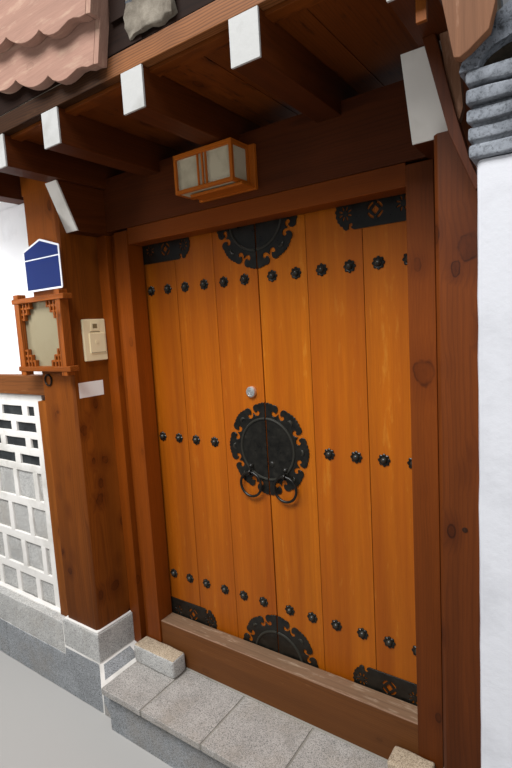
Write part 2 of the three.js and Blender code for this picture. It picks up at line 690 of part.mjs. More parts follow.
function buildStep() {
  const backY = JAMB_FRONT_Y + 5 - GAP;
  const slabZ = [GATE_SILL_Z - SLAB_THICKNESS, GATE_SILL_Z];
  const returnX = [LEFT_POST_X[1] + BASE_PROUD + GAP, STEP_X[0] + 1];
  const returnY = [STEP_RETURN_Y, backY];
  const riser = block(STEP_X, [RISER_FRONT_Y, backY], [0, slabZ[0]]);
  const slabs = block(STEP_X, [SLAB_FRONT_Y, backY], slabZ);
  addPiece("step_riser", joined(riser, block(returnX, returnY, [0, slabZ[0]])), darkGranite);
  addPiece("step_slabs", joined(slabs, block(returnX, returnY, slabZ)), lightGranite);
  for (const [side, x] of [["left", LEFT_STOP_STONE_X], ["right", RIGHT_STOP_STONE_X]]) {
    const y = [THRESHOLD_FRONT_Y - GAP - STOP_STONE_DEPTH, JAMB_FRONT_Y - GAP];
    const z = [GATE_SILL_Z, GATE_SILL_Z + STOP_STONE_HEIGHT];
    addPiece(side + "_corner_stone", block(x, y, z), lightGranite);
  }
}

function buildRightWall() {
  const wallY = [RIGHT_WALL_FRONT_Y, POST_FRONT_Y - GAP];
  const wall = block(RIGHT_WALL_X, wallY, [0, RIGHT_WALL_TOP_Z]);
  const stoneRoom = block(
    [RIGHT_POST_X[0] - 50, RIGHT_POST_X[1] + BASE_PROUD + GAP],
    [COURSE_FRONT_Y - GAP, 100],
    [-1, POST_BOTTOM_Z + GAP],
  );
  addPiece("right_wall", cut(wall, stoneRoom), limePlaster);
  const [front, back] = COPING_Y;
  const topZ = RIGHT_WALL_TOP_Z + COPING_COURSES * COPING_COURSE;
  const profile = [[back, RIGHT_WALL_TOP_Z], [back, topZ + COPING_PAN], [front, topZ + COPING_PAN]];
  for (let course = COPING_COURSES; course > 0; course--) {
    const reach = front + COPING_STEP * (COPING_COURSES - course);
    profile.push([reach, RIGHT_WALL_TOP_Z + course * COPING_COURSE]);
    profile.push([reach, RIGHT_WALL_TOP_Z + (course - 1) * COPING_COURSE]);
  }
  const courses = drawn(outline(profile.slice(0, 3).concat(profile.slice(4))), [
    COPING_LEFT_X,
    RIGHT_WALL_X[1],
  ]);
  const covers = COPING_TILE_X.map((x) => {
    const arch = new THREE.Shape();
    arch.absarc(x, topZ + COPING_PAN - 1, COPING_TILE_RADIUS, 0, Math.PI, false);
    arch.absarc(x, topZ + COPING_PAN - 1, COPING_TILE_RADIUS - COPING_TILE_WALL, Math.PI, 0, true);
    return panel(arch, [front, back]);
  });
  addPiece("wall_coping", joined(courses, ...covers), roofTile);
}

// Boards at the right end of the eave: a brace and a strip beside the crossbeam head, and
// a verge board whose pointed foot hangs in front of the rafters.
const BRACE_Y = [-360, -324];
const VERGE_STUB_Y = [-561, -537];

function buildRightBoards() {
  const brace = outline([
    [722, 2350],
    [778, 2128],
    [831, 1999],
    [846, 2003],
    [821, 2065],
    [791, 2176],
    [767, 2278],
    [750, 2350],
  ]);
  const strip = outline([
    [750, 2350],
    [778, 2350],
    [800, 2250],
    [773, 2245],
  ]);
  const boards = joined(panel(brace, BRACE_Y), panel(strip, BRACE_Y));
  addPiece("right_brace_board", boards, stainedPine);
  const outer = outline([
    [833, 2196],
    [850, 2198],
    [897, 2234],
    [905, 2290],
    [905, EAVE_BOARD_TOP_Z],
    [718, EAVE_BOARD_TOP_Z],
    [739, 2460],
    [789, 2319],
  ]);
  addPiece("right_verge_board", panel(outer, VERGE_STUB_Y), weatheredPine);
}

// The right half, or quarter, of a lobed plate whose middle is on the seam.
function roundelPart(middleZ, [from, to]) {
  const points = [];
  for (let step = 0; step <= ROUNDEL_STEPS; step++) {
    const angle = from + ((to - from) * step) / ROUNDEL_STEPS;
    const radius = ROUNDEL_RADIUS + ROUNDEL_LOBE * Math.abs(Math.cos((ROUNDEL_LOBES / 2) * angle));
    const x = Math.max(LEAF_SEAM_HALF, radius * Math.cos(angle));
    points.push([x, middleZ + radius * Math.sin(angle)]);
  }
  if (to - from < Math.PI) {
    points.push([LEAF_SEAM_HALF, middleZ]);
  }
  return outline(points);
}

// The plates along a leaf's top and bottom edges, let 1 mm into its boards.
function edgePlates() {
  const depth = [-PLATE_THICKNESS, 1];
  return [
    panel(roundelPart(LEAF_TOP_Z, [-Math.PI / 2, 0]), depth),
    panel(roundelPart(LEAF_BOTTOM_Z, [0, Math.PI / 2]), depth),
    block(STRAP_X, depth, [LEAF_TOP_Z - STRAP_HEIGHT, LEAF_TOP_Z]),
    block(STRAP_X, depth, [LEAF_BOTTOM_Z, LEAF_BOTTOM_Z + STRAP_HEIGHT]),
  ];
}

function buildLeaves() {
  const radius = LEAF_THICKNESS / 2;
  for (const [side, sign] of [["left", -1], ["right", 1]]) {
    const shape = new THREE.Shape();
    shape.moveTo(LEAF_SEAM_HALF, 0);
    shape.lineTo(HINGE_X, 0);
    shape.absarc(HINGE_X, radius, radius, -Math.PI / 2, Math.PI / 2, false);
    shape.lineTo(LEAF_SEAM_HALF, LEAF_THICKNESS);
    const boards = upright(shape, [LEAF_BOTTOM_Z, LEAF_TOP_Z]);
    const pin = rod(PIN_RADIUS, [LEAF_BOTTOM_Z - PIN_LENGTH, LEAF_TOP_Z + PIN_LENGTH], HINGE_X, radius);
    const battens = BATTEN_ROWS_Z.map((z) =>
      block(
        [LEAF_SEAM_HALF + 22, HINGE_X - 12],
        [LEAF_THICKNESS - 1, LEAF_THICKNESS + BATTEN_THICKNESS],
        [z - BATTEN_HEIGHT / 2, z + BATTEN_HEIGHT / 2],
      ),
    );
    const leaf = joined(boards, pin, ...battens, ...edgePlates());
    addPiece(side + "_leaf", sign > 0 ? leaf : mirrored(leaf), honeyPine);
  }
}

function eyeStaple() {
  const eye = new THREE.Shape();
  eye.absarc(RING_Y, RING_TOP_Z, EYE_RADIUS, 0, 2 * Math.PI, false);
  const hole = new THREE.Path();
  hole.absarc(RING_Y, RING_TOP_Z, EYE_HOLE_RADIUS, 0, 2 * Math.PI, true);
  eye.holes.push(hole);
  const loop = drawn(eye, [RING_X - EYE_WIDTH / 2, RING_X + EYE_WIDTH / 2]);
  const foot = block(
    [RING_X - 10, RING_X + 10],
    [-PLATE_THICKNESS - 4, -PLATE_THICKNESS + 1],
    [RING_TOP_Z - 12, RING_TOP_Z + 34],
  );
  return joined(loop, foot);
}

function knockerRing() {
  const ring = new THREE.TorusGeometry(RING_RADIUS, RING_WIRE, 10, 40);
  return ring.rotateX(Math.PI / 2).translate(RING_X, RING_Y, RING_TOP_Z - RING_RADIUS);
}

function buildIronwork() {
  for (const [side, sign] of [["left", -1], ["right", 1]]) {
    const place = (geometry) => (sign > 0 ? geometry : mirrored(geometry));
    const roundel = panel(roundelPart(ROUNDEL_Z, [-Math.PI / 2, Math.PI / 2]), [-PLATE_THICKNESS, 0]);
    addPiece(side + "_roundel", place(joined(roundel, eyeStaple())), blackIron);
    addPiece(side + "_knocker_ring", place(knockerRing()), blackIron);
  }
  const lock = new THREE.CylinderGeometry(LOCK_RADIUS, LOCK_RADIUS, LOCK_PROUD, 32);
  addPiece("lock_cylinder", lock.translate(LOCK_X, -LOCK_PROUD / 2, LOCK_Z), steel);
}

// Lamp and post fittings
const LAMP_X = [-197, 86];
const LAMP_Y = [-206, -95];
const LAMP_Z = [2196, 2344];
const LAMP_RAIL = 14;
const SIGN_X = [-1110, -764];
const SIGN_Y = [-328, -287];
const SIGN_STILE = 38;
const SIGN_RAIL_Z = [1588, 1888];
const SIGN_RAIL = 22;
const SIGN_RAIL_END = 30;
const SIGN_HORN = 19;
const SIGN_PANEL_DEPTH = 16;
const DOOR_PHONE_Y = [-219, -100];
const DOOR_PHONE_Z = [1620, 1803];
const DOOR_PHONE_DEPTH = 20;
const ADDRESS_X = [-1037, -775];
const ADDRESS_Z = [1935, 2113];
const ADDRESS_APEX_Z = 2152;
const ADDRESS_Y = [-301, -297];
const ADDRESS_SPACER = 30;

// A picture-frame box whose rails and stiles run past each other at the corners.
function signBox() {
  const [x0, x1] = SIGN_X;
  const top = SIGN_RAIL_Z[1] + SIGN_RAIL;
  const stileZ = [SIGN_RAIL_Z[0] - SIGN_HORN, top + SIGN_HORN];
  const stiles = [x0, x1 - SIGN_STILE].map((x) => block([x, x + SIGN_STILE], SIGN_Y, stileZ));
  const rails = SIGN_RAIL_Z.map((z) =>
    block([x0 - SIGN_RAIL_END / 3, x1 + SIGN_RAIL_END], [SIGN_Y[0] - 4, SIGN_Y[1]], [z, z + SIGN_RAIL]),
  );
  const back = block([x0 + 1, x1 - 1], [SIGN_Y[1] - SIGN_PANEL_DEPTH, SIGN_Y[1]], [SIGN_RAIL_Z[0], top]);
  return joined(...stiles, ...rails, back);
}

function buildFittings() {
  const body = block(LAMP_X, LAMP_Y, LAMP_Z);
  const window = block(
    [LAMP_X[0] + LAMP_RAIL, LAMP_X[1] - LAMP_RAIL],
    [LAMP_Y[0] - 1, LAMP_Y[0] + 20],
    [LAMP_Z[0] + LAMP_RAIL, LAMP_Z[1] - LAMP_RAIL],
  );
  addPiece("lamp_box", cut(body, window), honeyPine);
  addPiece("sign_box", signBox(), honeyPine);
  const phoneX = [LEFT_POST_X[1], LEFT_POST_X[1] + DOOR_PHONE_DEPTH];
  addPiece("door_phone", block(phoneX, DOOR_PHONE_Y, DOOR_PHONE_Z), beigePlastic);
  const [x0, x1] = ADDRESS_X;
  const plate = outline([
    [x0, ADDRESS_Z[0]],
    [x1, ADDRESS_Z[0]],
    [x1, ADDRESS_Z[1]],
    [(x0 + x1) / 2, ADDRESS_APEX_Z],
    [x0, ADDRESS_Z[1]],
  ]);
  const middle = [(LEFT_POST_X[0] + LEFT_POST_X[1]) / 2, (ADDRESS_Z[0] + ADDRESS_Z[1]) / 2];
  const spacer = block(
    [middle[0] - ADDRESS_SPACER, middle[0] + ADDRESS_SPACER],
    [ADDRESS_Y[1] - 1, POST_FRONT_Y],
    [middle[1] - ADDRESS_SPACER, middle[1] + ADDRESS_SPACER],
  );
  addPiece("address_plate", joined(panel(plate, ADDRESS_Y), spacer), blueEnamel);
}

buildPosts();
buildPostStones();
buildJambs();
buildGateFrame();
buildCrossbeams();
buildEave();
buildRoofBeds();
buildTiles();
buildVerges();
buildLeftWall();
buildStep();
buildRightWall();
buildRightBoards();
buildLeaves();
buildIronwork();
buildFittings();

gate.position.set(-ORIGIN_X, -ORIGIN_Y, 0);

export default gate;
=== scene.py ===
"""Looks of a hanok street entrance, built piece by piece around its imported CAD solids.

Sizes are millimetres in the gate's own frame, as a carpenter would measure them: x along
the gate from the seam between the leaves, y into the house from the leaves' front faces,
z up from the foot of its stones. The function gate_point turns them to metres in the row frame.
"""

import functools
import math
import random

import bmesh
import bpy
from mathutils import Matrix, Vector, noise


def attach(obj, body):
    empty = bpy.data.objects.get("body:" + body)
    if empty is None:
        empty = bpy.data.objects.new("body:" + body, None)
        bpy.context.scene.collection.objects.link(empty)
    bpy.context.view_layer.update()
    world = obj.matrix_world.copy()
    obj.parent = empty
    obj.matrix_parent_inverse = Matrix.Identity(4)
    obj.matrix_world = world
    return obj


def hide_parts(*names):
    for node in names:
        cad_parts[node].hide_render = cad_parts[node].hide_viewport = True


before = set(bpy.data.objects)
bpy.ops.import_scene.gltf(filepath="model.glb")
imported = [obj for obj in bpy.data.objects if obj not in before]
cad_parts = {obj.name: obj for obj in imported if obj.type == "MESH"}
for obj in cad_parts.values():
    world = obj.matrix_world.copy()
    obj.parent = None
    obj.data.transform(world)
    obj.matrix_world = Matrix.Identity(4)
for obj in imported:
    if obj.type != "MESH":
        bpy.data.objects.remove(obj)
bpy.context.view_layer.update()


# Posts
# Three square pine posts, planed and stained red-brown, with their front edges eased off
# and rubbed pale. Each one stands on a granite base stone and carries the crossbeams.

SEAM_AT = Vector((0.582, 0.140, 0.0))
MM = 0.001
CROSS_AND_LENGTH = {"x": (1, 2, 0), "y": (0, 2, 1), "z": (0, 1, 2)}
POST_FRONT, POST_BACK = -287, 31
POST_FOOT, RAFTER_UNDERSIDE = 393, 2350
LEFT_POST, RIGHT_POST, END_POST = (-1022, -792), (722, 952), (-2352, -2122)
POST_EDGE, SAWN_EDGE = 11, 2.0
SAWN_CREASE, CHIPPED_CREASE = 38, 85
draw = random.Random(11)


def gate_point(x, y, z):
    return SEAM_AT + Vector((x, y, z)) * MM


def solid(rings, closed=False):
    """A solid over rings of places in the gate's frame. A last ring of one place is a tip."""
    mesh = bmesh.new()
    rings = [[mesh.verts.new(gate_point(*place)) for place in ring] for ring in rings]
    if not closed:
        mesh.faces.new(rings[0])
        if len(rings[-1]) > 1:
            mesh.faces.new(reversed(rings[-1]))
    for a, b in zip(rings, rings[1:] + rings[:1] if closed else rings[1:]):
        for k in range(len(a)):
            j = (k + 1) % len(a)
            mesh.faces.new((a[j], a[k], b[0]) if len(b) == 1 else (a[j], a[k], b[k], b[j]))
    bmesh.ops.recalc_face_normals(mesh, faces=mesh.faces)
    return mesh


def prism(outline, axis, span, edge=SAWN_EDGE):
    """A solid with that outline, drawn out along an axis, with its edges eased."""
    rings = []
    for reach in span:
        ring = []
        for a, b in outline:
            place = [0, 0, 0]
            for i, size in zip(CROSS_AND_LENGTH[axis], (a, b, reach)):
                place[i] = size
            ring.append(place)
        rings.append(ring)
    mesh = solid(rings)
    if edge:
        sharp = [e for e in mesh.edges if abs(e.calc_face_angle(0)) > math.radians(20)]
        bmesh.ops.bevel(
            mesh, geom=sharp, offset=edge * MM, segments=2, profile=0.5, affect="EDGES", clamp_overlap=True
        )
    return mesh


def box(x, y, z, edge=SAWN_EDGE):
    return prism([(x[0], y[0]), (x[1], y[0]), (x[1], y[1]), (x[0], y[1])], "z", z, edge)


def along_grain(mesh, axis, pith=(50, 120)):
    """Gives each corner its place in the log it was sawn from, and the board its own tone.

    pith is how far the board lay from the middle of the log, in mm.
    """
    place_layer = mesh.verts.layers.float_vector.new("grain")
    tone_layer = mesh.verts.layers.float.new("board_tone")
    middle = sum((v.co for v in mesh.verts), Vector()) / len(mesh.verts)
    turn = draw.uniform(0, math.tau)
    reach = draw.uniform(*pith) * MM
    shift = Vector((reach * math.cos(turn), reach * math.sin(turn), draw.uniform(0, 3)))
    tone = draw.uniform(-1, 1)
    for v in mesh.verts:
        place = v.co - middle
        v[place_layer] = Vector([place[i] for i in CROSS_AND_LENGTH[axis]]) + shift
        v[tone_layer] = tone
    return mesh


def timber(x, y, z, axis, edge=SAWN_EDGE, pith=(50, 120)):
    """A straight board or beam between those limits, with its grain along an axis."""
    return along_grain(box(x, y, z, edge), axis, pith)


def circle(a, b, radius, steps, start=0.0, sweep=math.tau):
    """Places round a circle in a plane. A part of a circle has a place at both of its ends."""
    turns = [start + sweep * i / steps for i in range(steps if sweep == math.tau else steps + 1)]
    return [(a + radius * math.cos(turn), b + radius * math.sin(turn)) for turn in turns]


def fitted(name, solids, material, replaces=(), body="frame", slot=None):
    """Joins solids into one named piece that rides on a body and may stand for CAD nodes.

    Sawn and forged edges stay crisp. Chipped stone is shaded soft over its rough faces.
    """
    crease = CHIPPED_CREASE if slot in ("light_granite", "dark_granite") else SAWN_CREASE
    corners, faces, skins, grain, tones = [], [], [], [], []
    for part in solids:
        start = len(corners)
        part.verts.index_update()
        place_layer = part.verts.layers.float_vector.get("grain")
        tone_layer = part.verts.layers.float.get("board_tone")
        for v in part.verts:
            corners.append(v.co.copy())
            grain.extend(v[place_layer] if place_layer else v.co)
            tones.append(v[tone_layer] if tone_layer else 0.0)
        for face in part.faces:
            faces.append([start + v.index for v in face.verts])
            skins.append(face.material_index)
        part.free()
    mesh = bpy.data.meshes.new(name)
    mesh.from_pydata(corners, [], faces)
    mesh.polygons.foreach_set("material_index", skins)
    mesh.attributes.new("grain", "FLOAT_VECTOR", "POINT").data.foreach_set("vector", grain)
    mesh.attributes.new("board_tone", "FLOAT", "POINT").data.foreach_set("value", tones)
    for skin in material if isinstance(material, (list, tuple)) else [material]:
        mesh.materials.append(skin)
    mesh.shade_smooth()
    mesh.set_sharp_from_angle(angle=math.radians(crease))
    piece = bpy.data.objects.new(name, mesh)
    bpy.context.scene.collection.objects.link(piece)
    piece.modifiers.new("even shading", "WEIGHTED_NORMAL").keep_sharp = True
    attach(piece, body)
    if replaces:
        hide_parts(*replaces)
    return piece


def colour(code):
    """An sRGB hex value as linear red, green, blue and a full alpha."""
    parts = [int(code[i : i + 2], 16) / 255 for i in (1, 3, 5)]
    return [p / 12.92 if p <= 0.04045 else ((p + 0.055) / 1.055) ** 2.4 for p in parts] + [1.0]


def set_inputs(node, **inputs):
    """Gives inputs their values or links. i0, i1 and so on are inputs by number."""
    for key, value in inputs.items():
        by_number = key[0] == "i" and key[1:].isdigit()
        socket = node.inputs[int(key[1:])] if by_number else node.inputs[key.replace("_", " ")]
        if isinstance(value, bpy.types.NodeSocket):
            node.id_data.links.new(value, socket)
        else:
            socket.default_value = value


def add_node(tree, kind, output, settings=None, **inputs):
    """Adds a node with its settings, ramp stops and inputs, and gives the named output."""
    node = tree.nodes.new("ShaderNode" + kind)
    for key, value in (settings or {}).items():
        if key == "stops":
            while len(node.color_ramp.elements) < len(value):
                node.color_ramp.elements.new(1.0)
            for element, (place, shade) in zip(node.color_ramp.elements, value):
                element.position = place
                element.color = colour(shade) if isinstance(shade, str) else (shade, shade, shade, 1)
        else:
            setattr(node, key, value)
    set_inputs(node, **inputs)
    return node.outputs[output]


def new_material(name, roughness, **inputs):
    """A material with the default IOR of 1.5, its shader, and add_node for its own tree."""
    material = bpy.data.materials.new(name)
    material.use_nodes = True
    tree = material.node_tree
    shader = tree.nodes["Principled BSDF"]
    set_inputs(shader, Roughness=roughness, **inputs)
    return material, shader, functools.partial(add_node, tree)


def per_metre(across, along=None):
    """Texture scale for a pattern of that size in mm, or for one that is longer along the grain."""
    scale = 1 / (across * MM)
    return scale if along is None else (scale, scale, 1 / (along * MM))


MULTIPLIED = {"data_type": "RGBA", "blend_type": "MULTIPLY"}
BLENDED = {"data_type": "RGBA"}


def pine(
    name, early, late, roughness, ring=7.0, contrast=0.6, board=0.08, knots=1.0, worn=None, sheen=0.22,
    foot=1.0, shade_fades=(), knot_marks=(), rings_shown=None, bands=0.0,
):
    """Pine sawn along its grain: growth rings, fibre streaks, knots and board-to-board tone.

    ring is the ring width in mm. It is wider than in most pine, so that it shows. contrast is
    how dark the streaks are, and rings_shown how strongly the late wood shows, if not the same.
    board is how much boards differ, knots how strong the knots are, and worn a colour and the
    share of the faces it covers. foot is how dark painted shade makes the lower end, in streaks,
    for the shade low between the walls. Each painted shade fade is an axis, a start, an end and
    how dark the painted shade is past that end. bands is how strongly wide streaks take the late
    wood's colour. knot_marks are large knots, as x, y, z and radius.
    """
    material, shader, add = new_material(name, roughness, Specular_IOR_Level=sheen)
    grain = add("Attribute", "Vector", {"attribute_name": "grain"})
    place = add("TexCoord", "Object")

    # The log wasn't straight: its rings wander by up to 50 mm over a metre or so.
    slow = add("Mapping", "Vector", Vector=grain, Scale=per_metre(142.86, 1000))
    wander = add("TexNoise", "Color", Vector=slow, Scale=1.0, Detail=3.0)
    bent = add("VectorMath", 0, {"operation": "MULTIPLY_ADD"}, i0=wander, i1=(0.05, 0.05, 0.0), i2=grain)

    # Small knots lie some 110 mm apart across the grain and 200 mm along it. A tenth of that
    # is a knot's own radius, and a ragged edge keeps the large ones from being round.
    spread = add("Mapping", "Vector", Vector=grain, Scale=per_metre(111.1, 200))
    knot_away = add("TexVoronoi", "Distance", Vector=spread, Scale=1.0)
    ragged = add("TexNoise", "Fac", Vector=place, Scale=per_metre(45.45), Detail=3.0)
    uneven = add(
        "VectorMath", 0, {"operation": "MULTIPLY_ADD"},
        i0=ragged.node.outputs["Color"], i1=(0.03, 0.03, 0.06), i2=place,
    )
    for x, y, z, radius in knot_marks:
        tall = 0.75
        squashed = add(
            "Mapping", "Vector", Vector=uneven, Location=(-0.015, -0.015, -0.0225), Scale=(1, 1, tall)
        )
        spot = gate_point(x, y, z)
        away = add(
            "VectorMath", "Value", {"operation": "DISTANCE"}, i0=squashed, i1=(spot.x, spot.y, spot.z * tall)
        )
        away = add("Math", 0, {"operation": "MULTIPLY"}, i0=away, i1=0.1 / (radius * MM))
        knot_away = add("Math", 0, {"operation": "MINIMUM"}, i0=knot_away, i1=away)
    near_knot = add("MapRange", 0, Value=knot_away, i1=0.07, i2=0.34, i3=knots, i4=0.0)

    # Growth rings of late and early wood, which turn round the knots.
    twist = add("Math", 0, {"operation": "MULTIPLY"}, i0=near_knot, i1=9.0)
    flat = add("Mapping", "Vector", Vector=bent, Scale=(1, 1, 0.02))
    rings = add(
        "TexWave", "Fac", {"wave_type": "RINGS", "rings_direction": "Z", "wave_profile": "SAW"},
        Vector=flat, Scale=math.tau / (20 * ring * MM), Distortion=2.2, Detail=3.0, Phase_Offset=twist,
    )
    wood = add("ValToRGB", 0, {"stops": [(0.0, early), (0.45, early), (0.88, late), (1.0, early)]}, Fac=rings)
    plain = add(
        "Mix", 2, BLENDED, i0=contrast if rings_shown is None else rings_shown, i6=colour(early), i7=wood
    )

    # Fibres are under a tenth of a millimetre wide. They are drawn at 2.4 mm to show at all.
    fine = add("Mapping", "Vector", Vector=bent, Scale=per_metre(2.381, 111.1))
    fibres = add("TexNoise", "Fac", Vector=fine, Scale=1.0, Detail=2.0, Roughness=0.7)
    fibre_shade = add("ValToRGB", 0, {"stops": [(0.3, 0.78), (0.72, 1.0)]}, Fac=fibres)
    fibred = add("Mix", 2, MULTIPLIED, i0=0.75, i6=plain, i7=fibre_shade)

    # The stain took unevenly, in streaks about 38 mm wide and a metre long.
    wide = add("Mapping", "Vector", Vector=bent, Scale=per_metre(38.46, 1111))
    streak = add("TexNoise", "Fac", Vector=wide, Scale=1.0, Detail=4.0)
    streak_shade = add("ValToRGB", 0, {"stops": [(0.28, 1.0 - 0.5 * contrast), (0.68, 1.0)]}, Fac=streak)
    streaked = add("Mix", 2, MULTIPLIED, i0=0.9, i6=fibred, i7=streak_shade)

    # A knot is a dark core in a darker bark ring, and the wood round it is resinous.
    core = add(
        "ValToRGB", 0, {"stops": [(0.0, 0.65), (0.045, 0.3), (0.082, 0.4), (0.1, 0.95), (0.122, 0.0)]},
        Fac=knot_away,
    )
    broken = add("MapRange", 0, Value=ragged, i1=0.36, i2=0.6, i3=0.3 * knots, i4=knots)
    core = add("Math", 0, {"operation": "MULTIPLY"}, i0=core, i1=broken)
    halo = add("Math", 0, {"operation": "MULTIPLY"}, i0=near_knot, i1=0.55)
    around = add("Mix", 2, BLENDED, i0=halo, i6=streaked, i7=colour(late))
    knot_colour = [0.4 * part for part in colour(late)[:3]] + [1.0]
    knotted = add("Mix", 2, BLENDED, i0=core, i6=around, i7=knot_colour)
    tone = add("Attribute", "Fac", {"attribute_name": "board_tone"})
    bright = add("Math", 0, {"operation": "MULTIPLY_ADD"}, i0=tone, i1=board, i2=1.0)
    shown = add("HueSaturation", 0, Value=bright, Color=knotted)

    if worn:
        worn_code, share = worn
        along = add("Mapping", "Vector", Vector=bent, Scale=per_metre(20.83, 100))
        patch = add("TexNoise", "Fac", Vector=along, Scale=1.0, Detail=6.0, Roughness=0.65)
        both = add("Mix", 0, i0=0.35, i2=patch, i3=streak)
        low = 0.62 - 0.3 * share
        where = add("MapRange", 0, Value=both, i1=low, i2=low + 0.1, i3=0.0, i4=0.85)
        shown = add("Mix", 2, BLENDED, i0=where, i6=shown, i7=colour(worn_code))
    if bands:
        broad = add("Mapping", "Vector", Vector=grain, Scale=per_metre(90.91, 2222))
        band = add("TexNoise", "Fac", Vector=broad, Scale=1.0, Detail=5.0, Roughness=0.6)
        amount = add("MapRange", 0, Value=band, i1=0.38, i2=0.66, i3=0.0, i4=bands)
        shown = add("Mix", 2, BLENDED, i0=amount, i6=shown, i7=colour(late))
    # Painted shade: the lower end darkens, in streaks, for the shade low between the walls.
    if foot < 1.0:
        height = add("SeparateXYZ", "Z", Vector=place)
        streaked_height = add("Math", 0, {"operation": "MULTIPLY_ADD"}, i0=streak, i1=0.5, i2=height)
        low_painted_shade = add("MapRange", 0, Value=streaked_height, i1=0.55, i2=1.75, i3=foot, i4=1.0)
        shown = add("Mix", 2, MULTIPLIED, i0=1.0, i6=shown, i7=low_painted_shade)
    # Painted shade along an axis, such as up under a roof or towards a post.
    for axis, start, end, shade in shade_fades:
        way = add("SeparateXYZ", axis, Vector=place)
        painted_fade = add("MapRange", 0, Value=way, i1=start, i2=end, i3=1.0, i4=shade)
        shown = add("Mix", 2, MULTIPLIED, i0=1.0, i6=shown, i7=painted_fade)
    height = add("Math", 0, {"operation": "MULTIPLY_ADD"}, i0=rings, i1=0.35, i2=fibres)
    relief = add("Bump", "Normal", Strength=0.25, Distance=0.6 * MM, Height=height)
    set_inputs(shader, Base_Color=shown, Normal=relief)
    return material


# Planed pine under a red-brown oil stain: a dull sheen, with the grain faint below it, and painted shade
# darkening it towards its foot.
stained_pine = pine(
    "stained_planed_pine", "#864610", "#4a1e07", 0.55, contrast=0.45, foot=0.5, rings_shown=0.26, knots=0.9,
    knot_marks=((-921, -287, 1402, 8), (-998, -287, 731, 9), (-957, -287, 652, 13)),
)
# The same stain painted brighter as light on the left post's side towards the door, with painted shade up under
# the roof and towards its foot.
side_lit_post_pine = pine(
    "stained_pine_with_painted_light_on_the_side", "#9f5415", "#5a2407", 0.55, ring=5.0, contrast=0.55, foot=0.55,
    rings_shown=0.3, shade_fades=(("Z", 1.25, 1.9, 0.6),),
    knot_marks=((-792, -259, 1324, 13), (-792, -160, 1164, 15), (-792, -207, 990, 17), (-792, -170, 565, 19)),
)
# The right post's wood, painted darker and browner as the shade beside the wall, with the coping's painted
# shadow at its top, painted shade towards its foot, and two large knots.
painted_shade_post_pine = pine(
    "stained_pine_with_painted_shade", "#75390f", "#461c07", 0.55, ring=8.0, contrast=0.45, foot=0.36,
    rings_shown=0.24, shade_fades=(("Z", 1.8, 2.15, 0.5),), knot_marks=((800, -287, 1888, 24), (775, -287, 1835, 10)),
)
# Edges rubbed in passing, where the stain is thin and the wood shows lighter, with painted shade towards the
# foot.
rubbed_edge = pine("stain_rubbed_off_at_an_edge", "#8c4a16", "#5a2a0c", 0.6, contrast=0.4, foot=0.5, knots=0.0)
# End grain soaks up stain, so a plug's end is nearly black.
dark_end = pine("end_grain_of_a_plug", "#3a2010", "#1c0e06", 0.7, knots=0.0)


def post_outline(x0, x1):
    shoulder = POST_FRONT + POST_EDGE
    return [
        (x0, POST_BACK), (x0, shoulder), (x0 + POST_EDGE, POST_FRONT),
        (x1 - POST_EDGE, POST_FRONT), (x1, shoulder), (x1, POST_BACK),
    ]


for name, (x0, x1) in (("left_post", LEFT_POST), ("end_post", END_POST)):
    post = along_grain(prism(post_outline(x0, x1), "z", (POST_FOOT, RAFTER_UNDERSIDE)), "z")
    # The bevelled edges take the rubbed stain, and the left post's side towards the door takes the copy with
    # painted light and shade.
    for face in post.faces:
        if abs(face.normal.x) > 0.3 and face.normal.y < -0.3:
            face.material_index = 1
        if face.normal.x > 0.95 and x1 == LEFT_POST[1]:
            face.material_index = 2
    fitted(name + "_timber", [post], [stained_pine, rubbed_edge, side_lit_post_pine], [name], slot="stained_pine")

# The right post is cut back at its top left for the crossbeam.
NOTCH_X, NOTCH_Z = 757.3, 2162.7
PLUG_X, PLUG_Z, PLUG_RADIUS = 787, 1183, 7
# The right post wears the copy of the stain with painted shade.
lower = along_grain(prism(post_outline(*RIGHT_POST), "z", (POST_FOOT, NOTCH_Z)), "z")
upper = timber((NOTCH_X, RIGHT_POST[1]), (POST_FRONT, POST_BACK), (NOTCH_Z - 4, RAFTER_UNDERSIDE), "z")
fitted("right_post_timber", [lower, upper], painted_shade_post_pine, ["right_post"], slot="stained_pine")
plug = prism(circle(PLUG_X, PLUG_Z, PLUG_RADIUS, 16), "y", (POST_FRONT - 1.5, POST_FRONT + 2), 0.6)
fitted("right_post_plug", [along_grain(plug, "y")], dark_end, slot="stained_pine")


# Stones under the posts and the wall
# Flamed pale granite base stones and plinth, over a footing course of darker granite.
# Edges are hand-chipped, and white mortar fills the joints between them.

STONE_FRONT, STONE_BACK = -300, 45
FOOTING_TOP, PLINTH_TOP, BASE_BOTTOM = 210, 372, 250
STONE_GAP, BASE_EDGE, PLINTH_EDGE = 1.5, 7.0, 5.0
BASES = {"left": (-1045, -779, BASE_BOTTOM), "end": (-2375, -2109, BASE_BOTTOM), "right": (699, 965, 0)}
PLINTH = (-2108.7, -1045.3)
PLINTH_JOINTS = (-2106, -1730, -1048)
FOOTING_JOINTS = (-2375, -1590, -784)
COARSE_WAVE, FINE_WAVE, FINE_SHARE = 45, 30, 0.6
LONGEST_IN_GRIDS, MOST_SPLITS = 1.6, 5
noise.seed_set(11)


